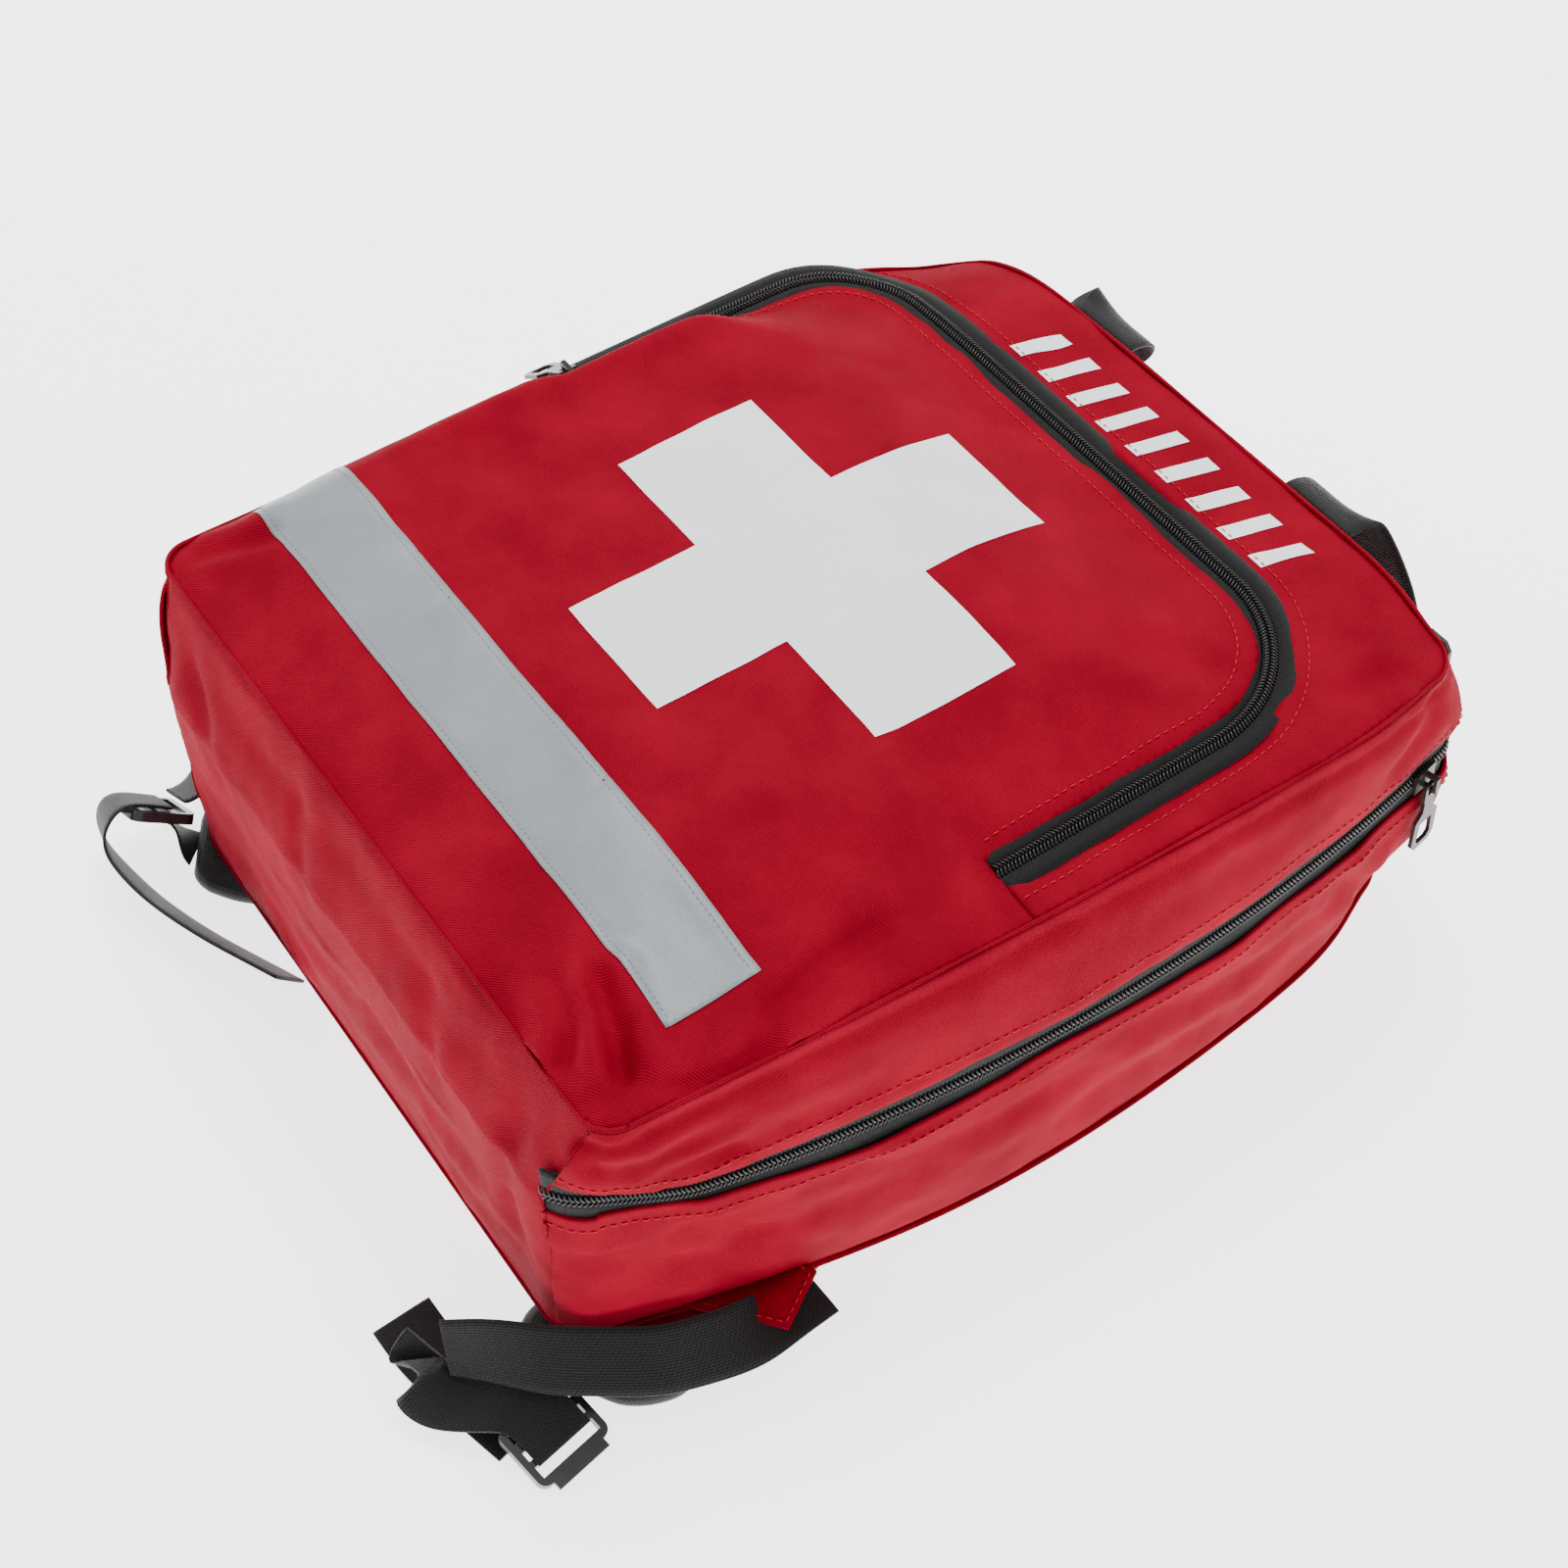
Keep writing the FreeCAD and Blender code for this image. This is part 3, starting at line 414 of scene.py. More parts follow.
def seg_dist(P, a, b):
    """distance to a segment and the parameter along it (plan or 3-D points)"""
    a, b = np.asarray(a, float), np.asarray(b, float)
    k = P.shape[1]
    a, b = a[:k], b[:k]
    d = b - a
    t = np.clip(((P - a) @ d) / (d @ d), 0, 1)
    return np.linalg.norm(P - (a + t[:, None] * d), axis=1), t


def poly_dist(P, pts):
    """distance to a polyline and the parameter 0..1 along it"""
    pts = np.asarray(pts, float)
    best = np.full(len(P), 1e9)
    par = np.zeros(len(P))
    n = len(pts) - 1
    for i in range(n):
        d, t = seg_dist(P, pts[i], pts[i + 1])
        m_ = d < best
        best[m_] = d[m_]
        par[m_] = (i + t[m_]) / n
    return best, par


def crease(P, pts, depth, width, ridge=0.55, taper=0.22):
    """a soft fold: a valley with a ridge on both sides, fading at its ends"""
    d, t = poly_dist(P, pts)
    fade = sstep(t, 0, taper) * (1 - sstep(t, 1 - taper, 1))
    return fade * (-depth * np.exp(-(d / width) ** 2) + ridge * depth * np.exp(-((d - 2.1 * width) / (1.3 * width)) ** 2))


# ---------------------------------------------------------------- outlines (same numbers as the part)
RB = dict(xr=179.5, rr=748.0, yr=56.0, xl=-185.0, rl=748.0, yl=-37.0, yt=207.5, yb=-193.5, rt=18.0, rtl=23.0, rb=20.0)
RZ = dict(xr=178.6, rr=748.0, yr=28.0, xl=-185.0, rl=748.0, yl=-9.4, yt=209.5, yb=-193.5, rt=15.0, rtl=26.0, rb=23.0)
RS = dict(xr=168.3, rr=3740.0, yr=140.0, xl=-180.5, rl=2340.0, yl=-121.5, yt=207.5, yb=-175.8, rt=15.0, rtl=22.0, rb=13.0)
COUNTS = [150, 16, 130, 20, 150, 18, 110, 18]
STARTS = np.concatenate([[0], np.cumsum(COUNTS)])
NR = sum(COUNTS)


def ring(p, d=0.0):
    """closed outline, counter-clockwise from above, starting at the lower end of the right side"""
    xr, rr, xl, rl = p["xr"] - d, p["rr"] - d, p["xl"] + d, p["rl"] - d
    yt, yb = p["yt"] - d, p["yb"] + d
    rt, rb, rtl = max(p["rt"] - d, 3.0), max(p["rb"] - d, 3.0), max(p["rtl"] - d, 3.0)
    cr, cl = np.array([xr - rr, p["yr"]]), np.array([xl + rl, p["yl"]])

    def corner(c, r, side, line, f, up):
        fy = line - up * f
        fx = c[0] + side * math.sqrt((r - f) ** 2 - (fy - c[1]) ** 2)
        F = np.array([fx, fy])
        return c + (F - c) / np.linalg.norm(F - c) * r, F, np.array([fx, line])

    br, tr = corner(cr, rr, 1, yb, rb, -1), corner(cr, rr, 1, yt, rt, 1)
    tl, bl = corner(cl, rl, -1, yt, rtl, 1), corner(cl, rl, -1, yb, rb, -1)

    def arc(c, a, b, n):
        a0 = math.atan2(a[1] - c[1], a[0] - c[0])
        a1 = math.atan2(b[1] - c[1], b[0] - c[0])
        while a1 < a0:
            a1 += 2 * math.pi
        if a1 - a0 > math.pi * 1.5:
            a1 -= 2 * math.pi
        r = np.linalg.norm(a - c)
        t = np.linspace(a0, a1, n, endpoint=False)
        return np.stack([c[0] + r * np.cos(t), c[1] + r * np.sin(t)], 1)

    def line(a, b, n):
        t = np.linspace(0, 1, n, endpoint=False)[:, None]
        return a + (b - a) * t

    return np.vstack([
        arc(cr, br[0], tr[0], COUNTS[0]), arc(tr[1], tr[0], tr[2], COUNTS[1]), line(tr[2], tl[2], COUNTS[2]),
        arc(tl[1], tl[2], tl[0], COUNTS[3]), arc(cl, tl[0], bl[0], COUNTS[4]), arc(bl[1], bl[0], bl[2], COUNTS[5]),
        line(bl[2], br[2], COUNTS[6]), arc(br[1], br[2], br[0], COUNTS[7])])


def ring_normal(R):
    t = np.roll(R, -1, 0) - np.roll(R, 1, 0)
    t /= np.linalg.norm(t, axis=1, keepdims=True)
    return np.stack([t[:, 1], -t[:, 0]], 1)


rb_, rz_, rs_ = ring(RB), ring(RZ), ring(RS)
nz_ = ring_normal(rz_)
ns_ = ring_normal(rs_)
nb_ = ring_normal(rb_)
arc_s = np.concatenate([[0], np.cumsum(np.linalg.norm(np.diff(np.vstack([rz_, rz_[:1]]), axis=0), axis=1))])[:-1]

# the bottom panel takes the bottom line and part of each lower corner
I_BL = STARTS[5] + 11          # first index of the bottom panel (left)
I_BR = STARTS[7] + 6           # last index of the bottom panel (right)
PANEL = np.arange(I_BL, I_BR + 1)
SIDES = np.concatenate([np.arange(I_BR, NR), np.arange(0, I_BL + 1)])   # right side, top, left side


# ---------------------------------------------------------------- front height field
def seam_depth(x, y):
    """how far a plan point is inside the front seam"""
    cr = np.array([RS["xr"] - RS["rr"], RS["yr"]])
    cl = np.array([RS["xl"] + RS["rl"], RS["yl"]])
    a = RS["rr"] - np.hypot(x - cr[0], y - cr[1])
    b = RS["rl"] - np.hypot(x - cl[0], y - cl[1])
    c, d = RS["yt"] - y, y - RS["yb"]
    k = 7.0
    e = np.exp(-np.stack([a, b, c, d]) / k).sum(0)
    return np.maximum(-k * np.log(e) + 0.0, 0.0)


PZ_R0, PZ_R1 = np.array([141.0, -4.0]), np.array([138.0, 155.2])
PZ_L, PZ_T, PZ_Y = -168.3, 155.2, -4.0


def pocket_line(d=0.0, n_arc=26, step=2.0, y0=PZ_Y):
    """pocket zip line moved outwards by d: right edge up, across the top, down the left"""
    u = (PZ_R1 - PZ_R0) / np.linalg.norm(PZ_R1 - PZ_R0)
    nrm = np.array([u[1], -u[0]])
    base = PZ_R0 + nrm * d
    a = base + u * (y0 - base[1]) / u[1]
    r, r2 = max(60.0 + d, 6.0), max(42.0 + d, 6.0)
    yt, xl = PZ_T + d, PZ_L - d
    b = base + u * (yt - base[1]) / u[1]
    ang = math.acos(u[0])
    t = r / math.tan(ang / 2)
    p1, p2 = b - u * t, np.array([b[0] - t, yt])
    fc = np.array([p2[0], yt - r])
    a0, a1 = math.atan2(p1[1] - fc[1], p1[0] - fc[0]), math.pi / 2
    arc1 = np.stack([fc[0] + r * np.cos(np.linspace(a0, a1, n_arc)), fc[1] + r * np.sin(np.linspace(a0, a1, n_arc))], 1)
    fl = np.array([xl + r2, yt - r2])
    th = np.linspace(math.pi / 2, math.pi, n_arc)
    arc2 = np.stack([fl[0] + r2 * np.cos(th), fl[1] + r2 * np.sin(th)], 1)
    P = np.vstack([a[None], arc1, arc2, np.array([[xl, y0]])])
    return resample(P, step)[0]


_pz = pocket_line(0.0, 20, 4.0, -4.0)


def H(x, y, fine=True):
    """height of the front fabric over plan point x, y (mm)"""
    x, y = np.asarray(x, float), np.asarray(y, float)
    d = seam_depth(x, y)
    z = 154.3 + 2.6 * (1 - np.exp(-d / 5.0))
    up = sstep(y, -18, 2)

    def prof(dist, w):
        return np.sin(0.5 * math.pi * np.clip(dist / w, 0, 1))
    gR = prof((133.0 - 0.0188 * (y + 4)) * up + 161.0 * (1 - up) - x, 84 * up + 100 * (1 - up))
    gT = prof(147.0 - y, 88.0)
    gB = prof(y + 172.0, 100.0)
    xl = -163.0 * up + (1 - up) * (-179.5 + (y + 121.5) ** 2 / 4680.0)
    gL = prof(x - xl, 15.0 * up + 26.0 * (1 - up) + 60 * sstep(y, 55, 125))
    z = z + 19.3 * (gR * gT * gB * gL)
    z = z + 5.0 * np.exp(-((x + 152.0) / 10.0) ** 2) * sstep(y, -100, -40) * (1 - sstep(y, 50, 95))
    P = np.stack([x.ravel(), y.ravel()], 1)
    # the zip's own shallow channel
    dz, tz = poly_dist(P, _pz)
    inside = np.exp(-(dz / 7.5) ** 2).reshape(x.shape)
    z = z - 1.2 * inside * sstep(y, -6, 4)
    if fine:
        z = z + FOLD(P).reshape(x.shape)
    return z


def FOLD(P):
    z = np.zeros(len(P))
    # lower right: folds run from the corner and the fold line towards the strip
    z += crease(P, [(146, -158), (124, -150), (92, -141)], 6.0, 4.6, 0.8, 0.2)
    z += crease(P, [(128, -173), (114, -160), (88, -152)], 3.6, 4.4, 0.8, 0.2)
    z += crease(P, [(158, -120), (146, -100), (141, -70), (140, -30)], 3.2, 5.0, 0.6, 0.2)
    z += crease(P, [(152, -150), (156, -128), (157, -100)], 3.0, 3.8, 0.7, 0.2)
    z += crease(P, [(150, 20), (153, 60), (150, 100), (146, 140)], 1.5, 4.0, 0.5, 0.2)
    z += crease(P, [(160, 190), (150, 170), (146, 140)], 2.0, 5.0, 0.5, 0.2)
    z += crease(P, [(-172, -168), (-160, -150), (-150, -128)], 2.6, 5.0, 0.6, 0.2)
    z += crease(P, [(150, -60), (118, -72), (78, -78)], 1.0, 8.0, 0.6)
    z += crease(P, [(148, -20), (120, -34), (92, -62), (80, -88)], 1.3, 8.0, 0.6)
    z += crease(P, [(-158, -30), (-128, -52), (-96, -84)], 1.2, 8.0, 0.6)
    z += crease(P, [(-166, -150), (-140, -128), (-112, -88)], 1.4, 7.0, 0.5)
    z += crease(P, [(-60, -166), (-46, -140), (-40, -118)], 0.9, 7.0, 0.5)
    z += crease(P, [(60, -168), (52, -146), (56, -120)], 0.9, 7.0, 0.5)
    z += crease(P, [(128, 130), (104, 112), (84, 84)], 1.3, 7.0, 0.5)
    z += crease(P, [(-146, 134), (-122, 112), (-98, 92)], 1.3, 7.0, 0.5)
    z += crease(P, [(-158, 60), (-128, 50), (-100, 46)], 0.8, 8.0, 0.5)
    z += crease(P, [(138, 60), (112, 54), (86, 60)], 0.8, 8.0, 0.5)
    z += crease(P, [(-90, 204), (-70, 190), (-58, 172)], 0.8, 5.0, 0.5)
    z += crease(P, [(90, 204), (76, 188), (70, 172)], 0.8, 5.0, 0.5)
    return z


def Hn(x, y):
    e = 0.8
    zx = (H(x + e, y) - H(x - e, y)) / (2 * e)
    zy = (H(x, y + e) - H(x, y - e)) / (2 * e)
    n = np.stack([-zx, -zy, np.ones_like(zx)], -1)
    return n / np.linalg.norm(n, axis=-1, keepdims=True)


def region(name, loops, pitch, mat, lift=0.0, extra=None, noise_amp=0.0, keep_low=None, uvrot=0.0):
    """triangulated patch of the front surface inside closed plan loops (the first is the outer one)"""
    pts, edges = [], []
    for lp in loops:
        s = len(pts)
        pts += [tuple(q) for q in lp]
        k = len(lp)
        edges += [(s + i, s + (i + 1) % k) for i in range(k)]
    L = np.array(loops[0])
    x0, y0 = L.min(0)
    x1, y1 = L.max(0)
    xs = np.arange(x0 + pitch * 0.5, x1, pitch)
    ys = np.arange(y0 + pitch * 0.5, y1, pitch * 0.866)
    G = []
    for j, yy in enumerate(ys):
        G += [(xx + (pitch / 2 if j % 2 else 0), yy) for xx in xs]
    G = np.array(G)
    ins = np.zeros(len(G), bool)
    for lp in loops:
        lp = np.array(lp)
        c = np.zeros(len(G), bool)
        j = len(lp) - 1
        for i in range(len(lp)):
            xi, yi, xj, yj = lp[i][0], lp[i][1], lp[j][0], lp[j][1]
            if yi != yj:
                cond = ((yi > G[:, 1]) != (yj > G[:, 1])) & (G[:, 0] < (xj - xi) * (G[:, 1] - yi) / (yj - yi) + xi)
                c ^= cond
            j = i
        ins ^= c
    G = G[ins]
    dmin = np.full(len(G), 1e9)
    for lp in loops:
        lp = np.array(lp + [lp[0]]) if isinstance(lp, list) else np.vstack([lp, lp[:1]])
        d_, _ = poly_dist(G, lp)
        dmin = np.minimum(dmin, d_)
    G = G[dmin > pitch * 0.45]
    allp = [Vector((float(a), float(b))) for a, b in pts] + [Vector((float(a), float(b))) for a, b in G]
    vo, eo, fo, _, _, _ = geometry.delaunay_2d_cdt(allp, edges, [], 2, 1e-5)
    Q = np.array([(v[0], v[1]) for v in vo])
    z = H(Q[:, 0], Q[:, 1]) + lift
    if extra is not None:
        z = z + extra(Q)
    if noise_amp:
        z = z + noise_amp * fbm(np.column_stack([Q, z]), 46.0, 3, 2.0)
    P = np.column_stack([Q, z])
    if keep_low is not None:
        P[:, 2] = np.maximum(P[:, 2], keep_low)
    F = []
    for f in fo:
        a, b, c = (Q[f[0]], Q[f[1]], Q[f[2]]) if len(f) == 3 else (Q[f[0]], Q[f[1]], Q[f[2]])
        cr_ = (b[0] - a[0]) * (c[1] - a[1]) - (b[1] - a[1]) * (c[0] - a[0])
        F.append(tuple(f) if cr_ > 0 else tuple(f)[::-1])
    ob = make(name, P, F, mat, Q)
    return ob


NOISE_A = 1.3     # the soft unevenness of the front, mm
_fb_cache = {}


def front_noise(Q):
    return NOISE_A * fbm(np.column_stack([Q, np.zeros(len(Q))]), 48.0, 3, 2.0)


# ---------------------------------------------------------------- front pieces
seam_in = [tuple(q) for q in ring(RS, 0.4)[::2]]
Y0 = PZ_Y
outer = pocket_line(7.6, 24, 2.5)
_ia, _ib = resample(pocket_line(-6.2, 24, 2.5), n=330)[0], resample(pocket_line(-3.0, 24, 2.5), n=330)[0]
_w = np.maximum(sstep(_ia[:, 1], 96, 148), sstep(-_ia[:, 0], 60, 120))[:, None]
inner = _ia * (1 - _w) + _ib * _w
inner = inner[::2] if len(inner) % 2 else np.vstack([inner[::2], inner[-1:]])
R_in = ring(RS, 0.4)


def seam_between(R, cond):
    return [tuple(q) for q in R if cond(q)]


# yoke: upper part of the front, outside the pocket zip
right_up = [tuple(q) for q in R_in[0:STARTS[1]] if q[1] > Y0 + 1.0]
rest = [tuple(q) for q in R_in[STARTS[1]:STARTS[5]] if not (q[0] < -100 and q[1] < Y0 + 1.0)]


def x_on_right(y):
    R = R_in[0:STARTS[1]]
    return float(np.interp(y, R[:, 1], R[:, 0]))


def x_on_left(y):
    R = R_in[STARTS[4]:STARTS[5]][::-1]
    return float(np.interp(y, R[:, 1], R[:, 0]))


yoke_loop = [(x_on_right(Y0), Y0)] + right_up[::2] + rest[::2] + [(x_on_left(Y0), Y0)] + [tuple(q) for q in outer[::-1]]
yoke = region("front_yoke_cloth", [yoke_loop], 2.6, RED, 0.0, front_noise)
thicken(yoke, 1.6)
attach(yoke, "lid")
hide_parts("front_yoke")

# pocket front: lower pocket and flap in one cloth, across the fold line
low_ring = [tuple(q) for q in np.vstack([R_in[STARTS[4]:], R_in[:STARTS[1]]]) if q[1] < Y0 - 1.0]
low_ring = low_ring[::2]
pocket_loop = ([(x_on_left(Y0), Y0)] + low_ring + [(x_on_right(Y0), Y0)] + 
               [tuple(q) for q in inner])


def flap_puff(Q):
    """the flap's edge turns down over its tape; the fabric just inside stands up"""
    z = front_noise(Q)
    d, t = poly_dist(Q, inner)
    up = sstep(Q[:, 1], Y0, Y0 + 14)
    z = z + up * (1.5 * np.exp(-((d - 6.0) / 5.0) ** 2) - 0.6 * np.exp(-(d / 1.6) ** 2))
    return z


pocket = region("pocket_front_cloth", [pocket_loop], 2.4, RED, 0.0, flap_puff)
thicken(pocket, 1.4)
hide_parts("pocket_front_lower", "pocket_front_upper")


def on_front(P2, lift, extra=front_noise):
    P2 = np.asarray(P2, float)
    z = H(P2[:, 0], P2[:, 1]) + lift
    if extra is not None:
        z = z + extra(P2)
    return np.column_stack([P2, z])


def dense(poly, step=2.0):
    P = np.array(list(poly) + [poly[0]], float)
    out = []
    for i in range(len(P) - 1):
        n = max(1, int(np.linalg.norm(P[i + 1] - P[i]) / step))
        for k in range(n):
            out.append(tuple(P[i] + (P[i + 1] - P[i]) * k / n))
    return out


# cross
cx, cy, cw, cl_ = -9.3, 20.6, 31.2, 87.6
cross_poly = [(cx - cl_, cy - cw), (cx - cw, cy - cw), (cx - cw, cy - cl_), (cx + cw, cy - cl_), (cx + cw, cy - cw), (cx + cl_, cy - cw),
              (cx + cl_, cy + cw), (cx + cw, cy + cw), (cx + cw, cy + cl_), (cx - cw, cy + cl_), (cx - cw, cy + cw), (cx - cl_, cy + cw)]
cross = region("cross_print_film", [dense(cross_poly)], 2.4, PRINT, 0.28, flap_puff)
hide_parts("cross_print_lower", "cross_print_upper")

# reflective strip: its own tape, sewn along both edges
sx0, sx1, sy0, sy1 = -171.0, 134.5, -135.5, -97.5


def strip_extra(Q):
    z = front_noise(Q)
    e = np.minimum(Q[:, 1] - sy0, sy1 - Q[:, 1])
    z = z + 0.35 - 0.35 * np.exp(-((e - 2.6) / 0.8) ** 2)
    for k, xx in enumerate([-140, -104, -71, -33, 6, 41, 77, 112]):
        z = z - (0.22 + 0.1 * (k % 3)) * np.exp(-((Q[:, 0] - xx - 4 * math.sin(k * 2.1) * (Q[:, 1] + 116) / 20) / 1.1) ** 2)
    return z


strip = region("reflective_strip_tape", [dense([(sx0, sy0), (sx1, sy0), (sx1 + 0.5, sy1), (sx0, sy1)])], 2.0, REFLECT, 0.25, strip_extra)
thicken(strip, 0.3)
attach(strip, "lid")
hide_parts("reflective_strip")

# plain slanted bars where the bag carries lettering
bars_P, bars_F, bars_U = [], [], []
bar_objs = []
for i in range(9):
    x = -75.0 + i * 19.0
    poly = [(x - 5, 168.5), (x + 3, 168.5), (x + 9, 190.5), (x + 1, 190.5)]
    b = region("bar_%d" % i, [dense(poly, 2.5)], 2.6, PRINT, 0.28, front_noise)
    bar_objs.append(b)


def join(objs, name):
    for o in bpy.context.selected_objects:
        o.select_set(False)
    for o in objs:
        o.select_set(True)
    bpy.context.view_layer.objects.active = objs[0]
    bpy.ops.object.join()
    objs[0].name = name
    return objs[0]


bars = join(bar_objs, "printed_bars_film")
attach(bars, "lid")
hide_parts("printed_bars")


# ---------------------------------------------------------------- stitching
def stitch_paths(P, N, length=2.6, gap=1.3, sink=0.25, lift=0.42):
    """short thread dashes along a 3-D path P with surface normals N"""
    P, N = np.asarray(P, float), np.asarray(N, float)
    d = np.concatenate([[0], np.cumsum(np.linalg.norm(np.diff(P, axis=0), axis=1))])
    starts = np.arange(0.5, d[-1] - length, length + gap)
    out = []
    for s in starts:
        ts = s + length * np.array([0, 0.18, 0.5, 0.82, 1.0])
        p = np.stack([np.interp(ts, d, P[:, k]) for k in range(3)], 1)
        n = np.stack([np.interp(ts, d, N[:, k]) for k in range(3)], 1)
        n /= np.linalg.norm(n, axis=1, keepdims=True)
        h = np.array([-sink, lift * 0.75, lift, lift * 0.75, -sink])
        out.append(p + n * h[:, None])
    return out


def front_stitch(name, line, extra, mat, body, length=2.6, gap=1.3, lift=0.34, radius=0.30):
    P2, _ = resample(line, 1.2)
    P = on_front(P2, 0.0, extra)
    N = Hn(P2[:, 0], P2[:, 1])
    ob = tubes(name, stitch_paths(P, N, length, gap, 0.3, lift), [radius * 0.7, radius, radius, radius, radius * 0.7], mat, 6)
    if body:
        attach(ob, body)
    return ob


_sy = pocket_line(15.0, 24, 2.0, PZ_Y + 1)
_sy = _sy[(seam_depth(_sy[:, 0], _sy[:, 1]) > 4.0) & ~((_sy[:, 0] < -120) & (_sy[:, 1] < 120))]
st = front_stitch("stitch_yoke", _sy, front_noise, THREAD, "lid")
st2 = front_stitch("stitch_flap", pocket_line(-12.5, 24, 2.0, PZ_Y + 4), flap_puff, THREAD, "pocket_flap")
sa_ = front_stitch("stitch_strip_low", [(sx0 + 2, sy0 + 2.6), (sx1 - 1, sy0 + 2.6)], strip_extra, GREY_THREAD, "lid", 1.5, 1.1, 0.45, 0.26)
sb_ = front_stitch("stitch_strip_high", [(sx0 + 2, sy1 - 2.6), (sx1 - 1, sy1 - 2.6)], strip_extra, GREY_THREAD, "lid", 1.5, 1.1, 0.45, 0.26)


# ---------------------------------------------------------------- gussets and bottom panel
def zlift(p):
    """the zip climbs towards the lower right corner"""
    return 15.0 * sstep(-p[:, 1], 138, 190) * sstep(p[:, 0], 100, 130)


def lower_hem(s_idx):
    """height of the rear fabric's hem at the zip: it rolls over the tape in places"""
    p = rz_[s_idx]
    right = p[:, 0] > 100
    y = p[:, 1]
    h = 91.0 + 0.9 * np.sin(arc_s[s_idx] / 23.0) + 0.6 * np.sin(arc_s[s_idx] / 9.1 + 1.0)
    h = h + np.where(right, 4.2 * np.exp(-((y + 150) / 26.0) ** 2) + 2.4 * np.exp(-((y - 0) / 45.0) ** 2), 1.5)
    return h + zlift(p)


def upper_hem(s_idx):
    h = 111.5 + 0.8 * np.sin(arc_s[s_idx] / 31.0 + 2.0) + 0.4 * np.sin(arc_s[s_idx] / 11.0)
    p = rz_[s_idx]
    right = p[:, 0] > 100
    h = h - np.where(right, 3.0 * np.exp(-((p[:, 1] + 150) / 22.0) ** 2), 0)
    return h + zlift(p)


SIDE_CREASES = [
    ([(-150, -184, 144), (-120, -188, 118), (-100, -193, 88)], 2.4, 6.0),
    ([(-60, -184, 146), (-40, -190, 120), (-30, -193, 96)], 1.8, 7.0),
    ([(40, -184, 146), (60, -190, 118), (70, -193, 90)], 1.8, 7.0),
    ([(124, -182, 148), (116, -190, 120), (112, -193, 84), (116, -193, 40)], 2.2, 6.0),
    ([(146, -176, 150), (152, -176, 140), (158, -160, 134), (168, -120, 138)], 3.0, 4.0),
    ([(150, -172, 128), (160, -146, 124), (168, -118, 119)], 2.4, 4.0),
    ([(156, -160, 88), (162, -140, 74), (166, -120, 50), (168, -100, 30)], 3.0, 6.5),
    ([(168, -96, 86), (174, -70, 72), (178, -30, 66), (180, 20, 70)], 2.2, 6.5),
    ([(181, 30, 84), (180, 70, 66), (176, 120, 50)], 2.0, 6.5),
    ([(174, 130, 86), (170, 150, 64), (166, 176, 40)], 2.4, 6.0),
    # polyline in 3-D, depth, width
    ([(140, -178, 138), (152, -150, 128), (163, -110, 124), (170, -60, 122)], 2.4, 5.5),
    ([(150, -168, 60), (166, -130, 56), (176, -80, 60), (180, -30, 58)], 2.6, 8.0),
    ([(136, -188, 84), (150, -172, 72), (160, -150, 52), (166, -132, 34)], 2.2, 7.0),
    ([(179, -10, 40), (181, 40, 46), (179, 90, 40)], 1.6, 8.0),
    ([(178, 60, 72), (175, 110, 62), (168, 160, 66)], 1.6, 7.0),
    ([(160, 188, 80), (166, 170, 50), (172, 150, 26)], 2.0, 6.0),
    ([(165, 196, 148), (168, 180, 134), (172, 150, 124)], 2.2, 5.5),
    ([(172, 120, 138), (175, 70, 132), (176, 20, 136)], 1.0, 7.0),
    ([(-176, -150, 140), (-183, -110, 126), (-186, -60, 122)], 1.8, 6.5),
    ([(-178, -150, 60), (-186, -90, 54), (-188, -30, 60)], 2.0, 9.0),
    ([(-184, 40, 50), (-182, 100, 44), (-172, 150, 52)], 1.6, 8.0),
    ([(-90, 209, 60), (-40, 209, 48), (20, 209, 58)], 1.6, 9.0),
    ([(40, 209, 36), (90, 209, 44), (140, 207, 34)], 1.4, 8.0),
    ([(-120, -193, 70), (-60, -193, 60), (0, -193, 72), (60, -193, 64), (118, -193, 74)], 1.6, 9.0),
    ([(-150, -190, 40), (-90, -193, 46), (-20, -193, 34)], 1.2, 8.0),
    ([(20, -193, 44), (80, -193, 40), (124, -193, 50)], 1.2, 7.0),
    ([(-140, -180, 140), (-80, -183, 132), (-10, -184, 138), (70, -183, 130), (126, -182, 138)], 1.0, 6.0),
]


def side_fold(P):
    out = np.zeros(len(P))
    for pts, dep, wid in SIDE_CREASES:
        out += crease(P, pts, dep, wid, 0.5, 0.25)
    return out


